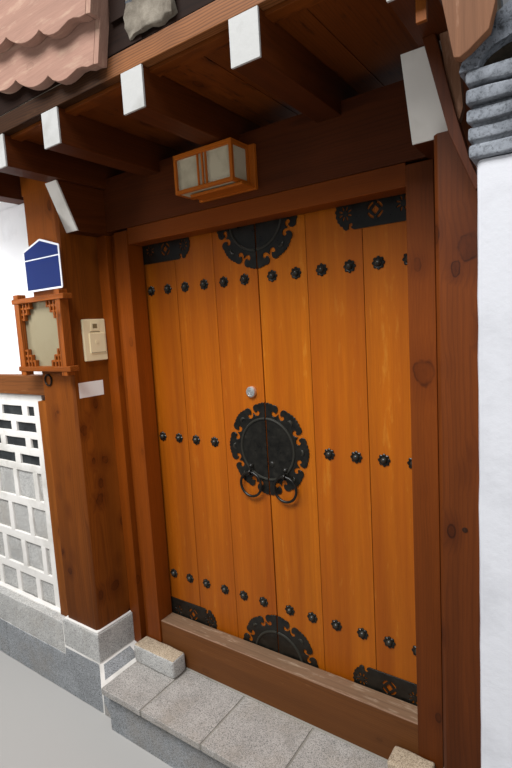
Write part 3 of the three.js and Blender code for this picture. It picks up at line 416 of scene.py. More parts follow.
def roughened(mesh, wave, grid, fine=FINE_WAVE):
    """Splits long edges to the grid, then shifts each corner by a coarse and a fine wave."""
    for _ in range(MOST_SPLITS):
        long_edges = [e for e in mesh.edges if e.calc_length() > LONGEST_IN_GRIDS * grid * MM]
        if not long_edges:
            break
        bmesh.ops.subdivide_edges(mesh, edges=long_edges, cuts=1, use_grid_fill=True)
    for v in mesh.verts:
        coarse, small = (noise.noise_vector(v.co / (length * MM)) for length in (COARSE_WAVE, fine))
        v.co += (coarse + FINE_SHARE * small) * wave * MM
    return mesh


def stone(x, y, z, edge=4.0, wave=1.6, grid=45):
    """A sawn block with chipped edges and faces that wave by a millimetre or two."""
    return roughened(box(x, y, z, edge), wave, grid)


def granite(name, light, middle, dark, roughness=0.82):
    """Granite with a flamed face: crystals of 2.5 mm in three tones, clouded and splashed."""
    material, shader, add = new_material(name, roughness)
    place = add("TexCoord", "Object")
    crystals = add("TexVoronoi", "Color", Vector=place, Scale=per_metre(2.5))
    pick = add("SeparateColor", 0, Color=crystals)
    stops = [(0.0, dark), (0.1, dark), (0.2, middle), (0.5, middle), (0.62, light)]
    speckle = add("ValToRGB", 0, {"stops": stops}, Fac=pick)
    cloud = add("TexNoise", "Fac", Vector=place, Scale=per_metre(111.1), Detail=6.0, Roughness=0.6)
    shade = add("ValToRGB", 0, {"stops": [(0.3, 0.74), (0.7, 1.0)]}, Fac=cloud)
    shown = add("Mix", 2, MULTIPLIED, i0=1.0, i6=speckle, i7=shade)
    splash = add("TexNoise", "Fac", Vector=place, Scale=per_metre(312.5), Detail=8.0, Roughness=0.7)
    soiled = add("MapRange", 0, Value=splash, i1=0.5, i2=0.72, i3=0.0, i4=0.42)
    shown = add("Mix", 2, BLENDED, i0=soiled, i6=shown, i7=colour("#83745f"))
    pits = add("TexNoise", "Fac", Vector=place, Scale=per_metre(3.846), Detail=3.0)
    relief = add("Bump", "Normal", Strength=0.3, Distance=1 * MM, Height=pits)
    set_inputs(shader, Base_Color=shown, Normal=relief)
    return material


def plaster(name, code, roughness=0.88, ripple=0.5, stain="#cfc8bb"):
    """Trowelled lime plaster, mortar or paint: ripples of 26 mm and stains of 200 mm."""
    material, shader, add = new_material(name, roughness)
    place = add("TexCoord", "Object")
    cloud = add("TexNoise", "Fac", Vector=place, Scale=per_metre(200), Detail=7.0, Roughness=0.6)
    shown = add("ValToRGB", 0, {"stops": [(0.32, stain), (0.5, code), (1.0, code)]}, Fac=cloud)
    ripples = add("TexNoise", "Fac", Vector=place, Scale=per_metre(26.32), Detail=8.0, Roughness=0.62)
    relief = add("Bump", "Normal", Strength=ripple, Distance=4 * MM, Height=ripples)
    set_inputs(shader, Base_Color=shown, Normal=relief)
    return material


def course(joints, z, gap, edge=4.0):
    """Stones laid end to end between joints, in the depth of the footing."""
    return [
        stone((x0 + gap, x1 - gap), (STONE_FRONT, STONE_BACK), z, edge) for x0, x1 in zip(joints, joints[1:])
    ]


# Pale granite burnt with a flame: matt, finely speckled grey and white.
pale_granite = granite("flamed_pale_granite", "#c9c8c4", "#afaeab", "#7f7e7d")
# An older, darker granite, dulled by rain and dirt near its foot.
dark_granite = granite("weathered_dark_granite", "#a3a6a8", "#85888b", "#5c5f62")
# Lime mortar, smoothed with a pointing iron: matt and chalky, a little lighter than the stone.
white_mortar = plaster("white_pointing_mortar", "#dedbd6", stain="#c2bfb8", ripple=0.3)

for name, (x0, x1, bottom) in BASES.items():
    base = stone((x0, x1), (STONE_FRONT, STONE_BACK), (bottom + 1, POST_FOOT - 0.5), BASE_EDGE)
    fitted(name + "_post_base_stone", [base], pale_granite, [name + "_post_base"], slot="light_granite")
plinth = course(PLINTH_JOINTS, (FOOTING_TOP + 1, PLINTH_TOP), STONE_GAP, PLINTH_EDGE)
fitted("plinth_course_stones", plinth, pale_granite, ["plinth_course"], slot="light_granite")
footing = course(FOOTING_JOINTS, (0, FOOTING_TOP - 3), STONE_GAP)
for ends in ((-2373, -2110), (-1044, -785.5)):
    footing += course(ends, (FOOTING_TOP - 12, BASE_BOTTOM - 3), 0)
fitted("footing_course_stones", footing, dark_granite, ["lower_course"], slot="dark_granite")
flush, raked = (STONE_FRONT + 0.5, STONE_BACK - 3), (STONE_FRONT + 3, STONE_BACK - 3)
mortar = [
    stone((-1044, -779.5), flush, (BASE_BOTTOM - 10, BASE_BOTTOM + 5), 1, 1.2, 30),
    stone((-800, -780.2), (flush[0], -96), (0, BASE_BOTTOM), 1, 1.2, 30),
    box((-1052, -1042), raked, (FOOTING_TOP - 4, PLINTH_TOP - 4), 1),
    box(PLINTH, raked, (FOOTING_TOP - 6, FOOTING_TOP + 4), 1),
]
for x0, x1 in (LEFT_POST, END_POST, RIGHT_POST):
    bed = (POST_FOOT - 2, POST_FOOT + 7)
    mortar.append(stone((x0 - 9, x1 + 9), (POST_FRONT - 9, POST_BACK + 8), bed, 5, 1.2, 30))
fitted("footing_joint_mortar", mortar, white_mortar, slot="lime_plaster")


# Patterned wall panel
# Dark bricks in four rows over pale granite blocks in four rows, each set a little back
# behind raised white mortar ribs, between two timber trims and on a mortared ledge.

PANEL_X, PANEL_BACK, PANEL_TOP = (-2031, -1113), -21, 1468
RIB_FRONT, SET_BACK = -240, -230
PATTERN_LEFT, PATTERN_RIGHT = PANEL_X[0] + 20, -1190
# Each row is its bottom, its top, and whether it starts at the first or the second place.
BRICK_ROWS = ((1357, 1404, 0), (1275, 1322, 1), (1194, 1241, 0), (1106, 1156, 1))
BLOCK_ROWS = ((925, 1068, 0), (727, 880, 1), (538, 682, 0), (374, 494, 1))
BRICK, BRICK_PITCH, BRICK_STARTS, BRICK_EDGE = 183, 233, (-1248, -1360), 5
BLOCK, BLOCK_PITCH, BLOCK_STARTS, BLOCK_EDGE = 145, 184, (-1225, -1309), 7


def mortar_rib(x, z, edge, grid):
    return stone(x, (RIB_FRONT, SET_BACK + 20), z, edge, 1.3, grid)


ribs = [box(PANEL_X, (SET_BACK + 12, PANEL_BACK), (PLINTH_TOP, PANEL_TOP), 0)]
bricks, blocks = [], []
for rows, starts, length, pitch, edge, laid in (
    (BRICK_ROWS, BRICK_STARTS, BRICK, BRICK_PITCH, BRICK_EDGE, bricks),
    (BLOCK_ROWS, BLOCK_STARTS, BLOCK, BLOCK_PITCH, BLOCK_EDGE, blocks),
):
    for bottom, top, odd in rows:
        start, right = starts[odd], PATTERN_RIGHT
        while right > PATTERN_LEFT:
            left = max(start, PATTERN_LEFT)
            sag = draw.uniform(-2, 2)
            depth = (SET_BACK + draw.uniform(-1.5, 1.5), SET_BACK + 60)
            laid.append(stone((left - 3, right + 3), depth, (bottom - 3 + sag, top + 3 + sag), edge, 1.8, 30))
            right = left - (pitch - length)
            ribs.append(mortar_rib((right, left), (bottom - 4, top + 4), 4, 40))
            start = right - length
row_ends = sorted(BRICK_ROWS + BLOCK_ROWS)
level_ribs = [(PLINTH_TOP, row_ends[0][0])]
level_ribs += [(low[1], high[0]) for low, high in zip(row_ends, row_ends[1:])]
level_ribs.append((row_ends[-1][1], PANEL_TOP))
ribs += [mortar_rib(PANEL_X, span, 4, 60) for span in level_ribs if span[1] - span[0] > 4]
ribs.append(mortar_rib((PATTERN_RIGHT, PANEL_X[1]), (PLINTH_TOP, PANEL_TOP), 3, 60))
ledge = (PANEL_X[0] - 70, -1050), (-262, RIB_FRONT + 4), (PLINTH_TOP - 2, PLINTH_TOP + 9)
ribs.append(stone(*ledge, 4, 2.5, 40))
fitted("wall_pattern_ribs", ribs, white_mortar, ["patterned_wall"], slot="lime_plaster")
fitted("wall_pattern_blocks", blocks, pale_granite, slot="light_granite")


def fired_clay(name, light, dark, roughness=0.75, pits=0.0):
    """Clay blotched over 70 mm by the kiln, with 7 mm grit that pits where it has weathered."""
    material, shader, add = new_material(name, roughness, Specular_IOR_Level=0.3)
    place = add("TexCoord", "Object")
    blotch = add("TexNoise", "Fac", Vector=place, Scale=per_metre(71.43), Detail=8.0, Roughness=0.68)
    shown = add("ValToRGB", 0, {"stops": [(0.34, dark), (0.68, light)]}, Fac=blotch)
    grit = add("TexNoise", "Fac", Vector=place, Scale=per_metre(6.667), Detail=6.0, Roughness=0.7)
    if pits:
        pitted = add("ValToRGB", 0, {"stops": [(0.36, 1.0 - pits), (0.5, 1.0)]}, Fac=grit)
        shown = add("Mix", 2, MULTIPLIED, i0=1.0, i6=shown, i7=pitted)
    relief = add("Bump", "Normal", Strength=0.7, Distance=2 * MM, Height=grit)
    set_inputs(shader, Base_Color=shown, Normal=relief)
    return material


# Brick fired in a smoky kiln: charcoal grey all through, with a slight burnt gloss.
dark_brick = fired_clay("smoke_fired_dark_brick", "#3a3d3e", "#1c1e20", 0.6)
fitted("wall_pattern_bricks", bricks, dark_brick, slot="lime_plaster")


# Wall rail, trims and upper plaster
# A heavy sawn rail closes the patterned panel under a field of white lime plaster, and a
# planed trim stands beside each post.

RAIL_Y, RAIL_Z = (-262, 0), (PANEL_TOP, 1562)
TRIM_Y, TRIM_TOP = (-262, -21), 1440
BAY_X, PLASTER_Y = (END_POST[1], LEFT_POST[0]), (-221, -21)
OVER_POSTS = (RAFTER_UNDERSIDE - 2, 2461)
# Sawn pine that the sun has bleached to a dull, dry brown.
bay_pine = pine("faded_wall_bay_pine", "#7c4a24", "#5c3416", 0.6, contrast=0.5, worn=("#8c6644", 0.15))
# Planed pine in a fresher coat of orange stain, with painted shade towards its foot.
trim_pine = pine(
    "orange_stained_trim_pine", "#8e4e16", "#5c2c0a", 0.55, contrast=0.4, foot=0.7, rings_shown=0.2
)
# Lime plaster trowelled smooth and whitewashed: bright, matt, with faint ripples.
white_plaster = plaster("trowelled_white_lime_plaster", "#e8e8ea", stain="#d8d8da", ripple=0.35)

rail = timber(BAY_X, RAIL_Y, RAIL_Z, "x", 4)
fitted("wall_rail_timber", [rail], bay_pine, ["wall_rail"], slot="stained_pine")
for name, x, foot in (
    ("left_wall_trim", (-2122, -2031), (-2108, -2031)), ("right_wall_trim", (-1113, -1022), (-1113, -1046))
):
    trim = [timber(x, TRIM_Y, (POST_FOOT, TRIM_TOP), "z", 3)]
    trim.append(timber(foot, TRIM_Y, (PLINTH_TOP, POST_FOOT + 3), "z", 1))
    fitted(name + "_timber", trim, trim_pine, [name], slot="stained_pine")
field = box(BAY_X, PLASTER_Y, (RAIL_Z[1], RAFTER_UNDERSIDE), 0)
fitted("upper_wall_plaster", [field], white_plaster, ["plaster_wall"], slot="lime_plaster")
fitted("plaster_between_rafters", [box(BAY_X, PLASTER_Y, OVER_POSTS, 0)], white_plaster, slot="lime_plaster")
heads = [timber(x, (POST_FRONT + 0.5, POST_BACK - 0.5), OVER_POSTS, "z", 0) for x in (LEFT_POST, END_POST)]
fitted("post_heads_between_rafters", heads, stained_pine, slot="stained_pine")


# Jambs, lintel and header
# Planed and oiled pine in an orange-brown stain. Each jamb has a recessed casing board
# beside it, the lintel closes the gateway, and a deep header beam carries the rafters.

JAMB_FRONT, CASING_FRONT, FRAME_BACK = -97, -65, -10
SILL_TOP, CROSSBEAM_UNDERSIDE = 220, 2163
LINTEL_Z = (2104, 2172)
HEADER_X, HEADER_Y, HEADER_Z = (-719, 661), (-95, 55), (2172, 2394)
SOCKET_X = (573, 649)
# Oiled pine in an orange-brown stain: a soft sheen, with painted shade that makes it nearly black up under the
# header and darker towards its foot.
oiled_pine = pine(
    "oiled_jamb_pine", "#9c4b0c", "#6a2d04", 0.5, contrast=0.45, knots=0.6, foot=0.55, rings_shown=0.18,
    shade_fades=(("Z", 1.8, 2.15, 0.53),),
)
# The right jamb's oiled pine, coarser, painted browner and darker as shade, with painted shade under the header
# and towards its foot, and two large knots.
painted_shade_jamb_pine = pine(
    "oiled_pine_with_painted_shade", "#88420d", "#582405", 0.5, ring=9.0, contrast=0.5, knots=0.8, foot=0.42,
    rings_shown=0.16, shade_fades=(("Z", 1.8, 2.15, 0.55),), knot_marks=((636, -97, 1572, 27), (622, -97, 1880, 13)),
)
# Roof timber under a dark stain, which takes most of the light that reaches it.
sooty_pine = pine("dark_stained_eave_pine", "#55270b", "#301304", 0.55, rings_shown=0.3, knots=0.15)


def mirrored_span(side, x0, x1):
    return (x0, x1) if side > 0 else (-x1, -x0)


for side, name, casing_end, wood in (
    (-1, "left_jamb", 727, oiled_pine), (1, "right_jamb", 698.7, painted_shade_jamb_pine)
):
    whole = (SILL_TOP, CROSSBEAM_UNDERSIDE)
    jamb = [timber(mirrored_span(side, 593, 673), (JAMB_FRONT, FRAME_BACK), whole, "z", 3)]
    jamb.append(timber(mirrored_span(side, 672, casing_end), (CASING_FRONT, FRAME_BACK), whole, "z", 1))
    over_base = POST_FOOT + 0.5
    if side < 0:
        strip = [(-792, over_base), (-778.7, over_base), (-778.7, SILL_TOP), (-727, SILL_TOP)]
        strip += [(-727, CROSSBEAM_UNDERSIDE), (-792, CROSSBEAM_UNDERSIDE)]
        jamb.append(along_grain(prism(strip, "y", (JAMB_FRONT, FRAME_BACK), 2.5), "z"))
    else:
        jamb.append(timber((698, 722), (CASING_FRONT, FRAME_BACK), (over_base, CROSSBEAM_UNDERSIDE), "z", 1))
    fitted(name + "_timbers", jamb, wood, [name], slot="stained_pine")
lintel = timber((-593, 593), (-91, FRAME_BACK), LINTEL_Z, "x", 3)
fitted("lintel_timber", [lintel], oiled_pine, ["lintel"], slot="stained_pine")
header = [timber(HEADER_X, HEADER_Y, HEADER_Z, "x", 4)]
header += [timber(mirrored_span(side, *SOCKET_X), (-8, 55), (2136, 2176), "x") for side in (-1, 1)]
fitted("header_timber", header, sooty_pine, ["header_beam"], slot="stained_pine")


# Threshold
# A thick pine sill board between the jambs. Its top is trodden bare and pinkish grey, its
# front edge is bruised, and its face keeps most of its brown stain.

THRESHOLD_Y, THRESHOLD_Z = (-87, -10), (SILL_TOP, 404)
# Bare pine polished by feet and greyed by rain: dry, pinkish and dull.
bare_wood = pine(
    "trodden_bare_pine", "#856850", "#695240", 0.7, contrast=0.5, board=0.0, worn=("#a08a74", 0.35), knots=0.0
)
# Stained pine scuffed by shoes: brown, with thin worn streaks.
scuffed_pine = pine(
    "scuffed_threshold_pine", "#6c401d", "#492911", 0.6, contrast=0.5, board=0.0, worn=("#86603f", 0.02),
    knots=0.3, rings_shown=0.25,
)
# The arris that every foot meets, worn to light wood with traces of stain.
worn_arris = pine(
    "threshold_edge_trodden_pale", "#967660", "#7a5a42", 0.7, board=0.0, knots=0.0, worn=("#7a5436", 0.3)
)
sill_board = timber((-593, 593), THRESHOLD_Y, THRESHOLD_Z, "x", 3)
for face in sill_board.faces:
    if face.normal.z > 0.3:
        face.material_index = 2 if face.normal.y < -0.2 else 1
threshold = [sill_board]
threshold += [timber(mirrored_span(side, *SOCKET_X), (-9.7, 55), (SILL_TOP, 367), "x") for side in (-1, 1)]
threshold.append(timber((-611, 611), (-15, 30), (SILL_TOP, 280), "x"))
fitted("threshold_timber", threshold, [scuffed_pine, bare_wood, worn_arris], ["threshold"], slot="stained_pine")


# Crossbeams and rafters
# Sawn beams, dark with stain under the roof. Their ends are brushed with white paint
# against the rain: slanted heads on the two crossbeams, square ends on the rafters.

HEAD_TOP, HEAD_BOTTOM, ROOF_MIDDLE = -323, -245, -127
RAFTER_MIDDLES = (747, 361, -25, -415, -737, -1122, -1508, -1894, -2280)
RAFTER_Y, RAFTER_Z, RAFTER_HALF = (-537, 283), (RAFTER_UNDERSIDE, 2460), 42
PAINT_DEPTH, PAINT_COAT = 7, 0.3
SOFFIT_WIDTH, SOFFIT_START, SOFFIT_END = 314, 798, -2440
# White paint on rafter ends: matt, and greyed where the roof drips.
end_paint = plaster("brushed_white_end_paint", "#b0b0ae", 0.7, 0.3, "#9b9a96")
# The crossbeams' heads have a thicker, creamier coat.
head_paint = plaster("brushed_white_head_paint", "#dad6cf", 0.7, 0.3, "#c6c2ba")
# Soffit boards in a warm stain, with dark bleeding along the grain.
soffit_pine = pine(
    "stained_soffit_pine", "#7c3f12", "#451e08", 0.5, board=0.15, worn=("#3a1a08", 0.25), rings_shown=0.3
)
# The eave board's stain is washed off by rain, so its tight grain shows. Its left end under the verge is
# darkened with soot and the verge boards' painted shadow.
eave_pine = pine(
    "rain_washed_eave_pine", "#8f5a32", "#4e2c14", 0.6, ring=4.0, contrast=0.75, knots=0.6,
    worn=("#a8784c", 0.1), shade_fades=(("X", 0.54, 0.42, 0.17),),
)

for name, x0, x1 in (("left_crossbeam", -792, -719), ("right_crossbeam", 661, 757)):
    side_view = [
        (HEAD_BOTTOM + 2, CROSSBEAM_UNDERSIDE), (2 * ROOF_MIDDLE - HEAD_BOTTOM, CROSSBEAM_UNDERSIDE),
        (2 * ROOF_MIDDLE - HEAD_TOP, RAFTER_UNDERSIDE), (HEAD_TOP + 2, RAFTER_UNDERSIDE),
    ]
    beam = along_grain(prism(side_view, "x", (x0, x1), 3), "y")
    fitted(name + "_timber", [beam], sooty_pine, [name], slot="stained_pine")
    paint = [
        (HEAD_BOTTOM, CROSSBEAM_UNDERSIDE + 1), (HEAD_BOTTOM + 8, CROSSBEAM_UNDERSIDE + 1),
        (HEAD_TOP + 8, RAFTER_UNDERSIDE - 1), (HEAD_TOP, RAFTER_UNDERSIDE - 1),
    ]
    paint = prism(paint, "x", (x0 - PAINT_COAT, x1 + PAINT_COAT), 1)
    fitted(name + "_head_paint", [paint], head_paint, slot="lime_plaster")

rafters, painted = [], []
for middle in RAFTER_MIDDLES:
    x0, x1 = middle - RAFTER_HALF, middle + RAFTER_HALF
    rafters.append(timber((x0, x1), (RAFTER_Y[0] + 2, RAFTER_Y[1] - 2), RAFTER_Z, "y", 3))
    for y in ((RAFTER_Y[0], RAFTER_Y[0] + PAINT_DEPTH), (RAFTER_Y[1] - PAINT_DEPTH, RAFTER_Y[1])):
        painted.append(box((x0 - PAINT_COAT, x1 + PAINT_COAT), y, (RAFTER_Z[0] - PAINT_COAT, RAFTER_Z[1]), 1))
soffit, right = [], SOFFIT_START
while right > SOFFIT_END:
    left = max(right - SOFFIT_WIDTH, SOFFIT_END)
    soffit.append(timber((left + 1, right - 1), (-506, 252), (2460, 2482), "y"))
    right = left
soffit.append(timber((-2438, 799), (-506, -465), (2450, 2466), "x"))
fitted("rafter_timbers", rafters, sooty_pine, ["rafters"], slot="stained_pine")
fitted("soffit_timbers", soffit, soffit_pine, slot="stained_pine")
fitted("rafter_end_paint", painted, end_paint, slot="lime_plaster")
for name, y, pith in (("front_eave", (-537, -507), (150, 220)), ("back_eave", (253, 283), (50, 120))):
    board = timber((-2440, 800), y, (2460, 2517), "x", 3, pith)
    fitted(name + "_timber", [board], eave_pine, [name + "_board"], slot="stained_pine")


# Roof beds and tiles
# Rough yellowish clay is heaped on the boards to bed the tiles. The tiles are
# smoke-fired grey clay, a flat course under half-round covers and a ridge.

FASCIA_Z = (2518, 2600)
# Clay mixed with chopped straw and left raw: dull, crumbly, yellowish grey.
raw_clay = fired_clay("straw_clay_bedding", "#8d8578", "#5a5248", 0.95)
# Thin boards over the front of the clay beds at the eave, near black as painted shade where the clay lies in
# shadow.
painted_shade_black_pine = pine("near_black_pine_as_painted_shade", "#24140c", "#120905", 0.8, contrast=0.5, sheen=0.15)
# Roof tile fired in smoke: silvery grey, matt, pitted by frost.
grey_tile = fired_clay("smoke_fired_roof_tile", "#8f949b", "#53575d", 0.85, pits=0.5)

# Near-black boards over the clay beds' front stand in as painted shade.
shade_boards = [
    timber((-2436, -142), (-538.5, -533), FASCIA_Z, "x", 1),
    timber((-120, 30), (-538.5, -531), (2518, 2700), "x"),
    timber((-12, 798), (-536, -531), FASCIA_Z, "x", 1),
    timber((-78, -14), (-549, -538), (2592, 2700), "x", 1),
]
fitted("eave_boards_as_painted_shade", shade_boards, painted_shade_black_pine, slot="stained_pine")
heap = roughened(box((-22, 160), (-550, -531), (2532, 2640), 6), 12.0, 14, 13)
fitted("clay_heap_at_the_eave", [heap], raw_clay, slot="clay")
for material, names in (
    (raw_clay, ("gate_roof_clay", "wing_roof_clay")), (grey_tile, ("gate_roof_tiles", "wing_roof_tiles")),
    (dark_granite, ("sill_stone", "step_riser")),
):
    for name in names:
        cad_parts[name].data.materials[0] = material


# Verge boards
# Two layers of sawn scalloped boards climb the wing's rake at the left, greyed and
# pinkish from weather, with rain stains at the cusps, and a trim closes their low end.

WING_PEAK_X = -1290
RAKE = math.tan(math.radians(13.2))
LOBE, LOBE_DEPTH, LOBE_STEPS = 174, 27, 14
VERGE_HEIGHT, END_TAIL = 168, 215
# The end's long tail, as shares of its length and how far it swings off the straight line.
TAIL = ((0.12, 9), (0.24, 12), (0.35, 8), (0.47, -4), (0.58, -14), (0.68, -19), (0.78, -20), (0.9, -14))
TRIM_FOOT, TRIM_TOP_END, TRIM_WIDTH = (-139.4, 2497), 2774, 20
# Old unpainted pine: pinkish, dry and dull, with little grain left to see.
weathered_pine = pine(
    "weathered_verge_pine", "#a58070", "#846556", 0.8, ring=16.0, contrast=0.4, board=0.03,
    worn=("#ad8f7c", 0.3), knots=0.3, rings_shown=0.15,
)


def verge_outline(end_x, end_z):
    """Outline in x and z of a board that is mirrored about the wing's peak."""
    half = end_x - WING_PEAK_X

    def line(x):
        return end_z - 14 + (end_x - x) * RAKE

    right = [(end_x, end_z)]
    for share, swing in TAIL:
        x = end_x - share * END_TAIL
        right.append((x, line(x) + swing))
    for step in range(int((half - END_TAIL) // LOBE) * LOBE_STEPS):
        x = end_x - END_TAIL - step / LOBE_STEPS * LOBE
        bulge = math.sin(math.pi * (step % LOBE_STEPS) / LOBE_STEPS) ** 0.8
        right.append((x, line(x) - LOBE_DEPTH * bulge))
    right.append((WING_PEAK_X, line(WING_PEAK_X)))
    left = [(2 * WING_PEAK_X - x, z) for x, z in reversed(right[:-1])]
    top_end = end_z + VERGE_HEIGHT
    lean = VERGE_HEIGHT * RAKE
    top_peak = top_end + half * RAKE + lean * RAKE
    return right + left + [
        (2 * WING_PEAK_X - end_x - lean, top_end), (WING_PEAK_X, top_peak), (end_x + lean, top_end)
    ]


def trim_outline(bottom, top):
    """The trim between two heights. It leans square to the rake."""
    low, high = (TRIM_FOOT[0] + (z - TRIM_FOOT[1]) * RAKE for z in (bottom, top))
    drop = TRIM_WIDTH * RAKE
    return [(low, bottom), (low + TRIM_WIDTH, bottom - drop), (high + TRIM_WIDTH, top - drop), (high, top)]


for name, end, y in (
    ("lower_verge_board", (-140, 2497), (-570, -537.5)), ("upper_verge_board", (-115, 2606), (-603, -570.5))
):
    board = along_grain(prism(verge_outline(*end), "y", y, 2.5), "x")
    fitted(name + "_timber", [board], weathered_pine, [name], slot="weathered_pine")
trims = [
    along_grain(prism(trim_outline(bottom, TRIM_TOP_END), "y", y), "z")
    for bottom, y in ((2497, (-570, -537)), (2606, (-603, -569)))
]
fitted("verge_end_trim_timber", trims, weathered_pine, ["verge_end_trim"], slot="weathered_pine")


# Step
# Pale granite slabs laid over a darker riser, with open joints, and a small granite
# stone at each end of the threshold.

SLAB_JOINTS, SLAB_GAP = (-688, -440, -120, 200, 520, 688), 4
SLAB_Y, SLAB_Z = (-374, -92.3), (192, SILL_TOP)
STEP_TOP, FILLET_RISE, FILLET_DEPTH = 219, 31, 8
# The fillet's long sides on the step and on the footing, each from its front end to its back.
FILLET_LOW, FILLET_HIGH = ((-684, -374), (-687, -92.5)), ((-779, -300), (-779, -92.5))
STOP_Y, STOP_Z = (-178.3, -97.3), (SILL_TOP, 307)
# Granite polished by feet and tinted by dust: warmer and smoother in tone than the base stones.
worn_granite = granite("granite_worn_by_feet", "#b3aea8", "#9c9893", "#71706c")
# Granite with iron in it, which rain has turned to a brown film.
rusty_granite = granite("granite_browned_by_iron", "#c3b29a", "#a8977f", "#7c6d5b")
# Cement bedding under the slabs: grey-brown, rough and damp.
joint_mortar = plaster("grey_bedding_mortar", "#8f8b82", stain="#77736b")


def on_fillet(along, up):
    """A place on the fillet: along from its front end to its back, up from step to footing."""
    low = [a + (b - a) * along for a, b in zip(*FILLET_LOW)]
    high = [a + (b - a) * along for a, b in zip(*FILLET_HIGH)]
    return low[0] + (high[0] - low[0]) * up, low[1] + (high[1] - low[1]) * up, up


def sloped(alongs, ups, lift, wave):
    """A thin four-sided slab on the fillet between those places, with a rough face."""
    corners = [on_fillet(alongs[i], ups[j]) for i, j in ((0, 0), (1, 0), (1, 1), (0, 1))]
    rings = [
        [(x, y, STEP_TOP + FILLET_RISE * up + rise) for x, y, up in corners] for rise in (-FILLET_DEPTH, lift)
    ]
    return roughened(solid(rings), wave, 30)


def slab(x, y, z):
    return stone(x, y, z, 2.5, 1.0, 40)


slabs = [slab((x0 + SLAB_GAP, x1 - SLAB_GAP), SLAB_Y, SLAB_Z) for x0, x1 in zip(SLAB_JOINTS, SLAB_JOINTS[1:])]
slabs.append(slab((-778.7, -683), (STONE_FRONT, SLAB_Y[1]), (0, STEP_TOP)))
fitted("step_slab_stones", slabs, worn_granite, ["step_slabs"], slot="light_granite")
fitted("step_end_mortar", [sloped((0, 1), (0, 1), 0.0, 1.0)], white_mortar, slot="lime_plaster")
fitted("step_end_stone", [sloped((0.09, 0.8), (0.2, 0.88), 1.5, 0.8)], dark_granite, slot="dark_granite")
for name, x in (("left_corner_stone", (-690, -440)), ("right_corner_stone", (515, 652))):
    corner = stone(x, STOP_Y, STOP_Z, 10, 3.0, 22)
    for face in corner.faces:
        if face.normal.z > 0.8 or x[0] > 0:
            face.material_index = 1
    fitted(name + "_granite", [corner], [pale_granite, rusty_granite], [name], slot="light_granite")
bedding = [box((-683, 683), (-370, -93), (193, 216), 0), box((-683, 683), (-96, -86.5), (216, 222.5), 1)]
fitted("slab_joint_mortar", bedding, joint_mortar, slot="lime_plaster")


# Right wall and its coping
# The end of a masonry wall in thick white plaster. Its coping is four courses of broken
# roof tile in mortar under half-round cover tiles.

COURSE, WALL_TOP, COURSE_BACK = 31, 2025, -291
CAP_Z, CAP_OVERHANG, COURSE_STEP = (2149, 2175), -536, 8
ARCH_FOOT, ARCH_STEPS, ARCH_FRONT, ARCH_BACK = 2174, 24, -536, -290
# Half width, rise and squareness of the cover tile's outer and inner faces.
OUTER, INNER = (104, 100, 1.5), (72, 40, 2.0)
# Lime plaster thrown on by hand and floated: lumpy, with the bluish white of the open shade painted into its
# colour.
rough_plaster = plaster("hand_trowelled_thick_plaster", "#cacbd0", 0.9, 0.35, stain="#bdbec3")
# Broken edges of roof tile, which show the coarse grey body.
coarse_tile = fired_clay("coarse_broken_tile_edge", "#7d828a", "#3f4349", 0.95, pits=0.75)
# Earth packed under the cover tiles, crumbly, and near black as painted shade in the tiles' hollow.
shaded_earth_fill = fired_clay("earth_under_the_cover_tile_in_painted_shade", "#3a3228", "#191510", 0.95, pits=0.3)


def cover_tile(middle):
    """A half-round cover tile whose thick wall is a little peaked, open at both ends."""
    rings = []
    for i in range(ARCH_STEPS + 1):
        turn = math.pi * i / ARCH_STEPS
        ring = []
        for (half, rise, squareness), y in (
            (OUTER, ARCH_FRONT), (OUTER, ARCH_BACK), (INNER, ARCH_BACK), (INNER, ARCH_FRONT)
        ):
            power = 2 / squareness
            reach = math.copysign(abs(math.cos(turn)) ** power, math.cos(turn))
            ring.append((middle + half * reach, y, ARCH_FOOT + rise * math.sin(turn) ** power))
        rings.append(ring)
    return solid(rings)


wall_end = stone((860, 1340), (-500, -287.6), (0, WALL_TOP), 10, 2.0, 60)
fitted("right_wall_plaster", [wall_end], rough_plaster, ["right_wall"], slot="lime_plaster")
coping = []
for level in range(4):
    bottom = WALL_TOP + COURSE * level
    reach = CAP_OVERHANG + COURSE_STEP * (3 - level)
    x = 848
    while x < 1336:
        end = min(x + draw.uniform(280, 420), 1340)
        front = reach + draw.uniform(0, 8)
        coping.append(
            stone((x + 0.5, end - 0.5), (front, COURSE_BACK), (bottom + 1, bottom + COURSE - 6), 5, 1.6, 18)
        )
        x = end
coping.append(box((856, 1336), (-505, -292), (WALL_TOP, CAP_Z[0]), 0))
coping.append(stone((849, 1340), (-534, COURSE_BACK), CAP_Z, 8, 3.5, 22))
fitted("wall_coping_courses", coping, grey_tile, ["wall_coping"], slot="roof_tile")
arches, hollow_shade_fills = [], []
for middle in (945, 1220):
    arches.append(roughened(cover_tile(middle), 3.0, 12, 13))
    # Dark earth plugs each hollow, as painted shade under the arch.
    turns = [math.pi * i / 24 for i in range(25)]
    hollow = [(middle + 74 * math.cos(turn), 2172 + 43 * math.sin(turn)) for turn in turns]
    hollow_shade_fills.append(prism(hollow, "y", (-508, -300), 1))
fitted("coping_cover_tiles", arches, coarse_tile, slot="roof_tile")
fitted("coping_earth_fill_in_painted_shade", hollow_shade_fills, shaded_earth_fill, slot="clay")


# Boards at the right end of the eave
# Two brown boards lean against the end rafter beside the crossbeam's head, and a greyed
# verge board closes the roof's edge.

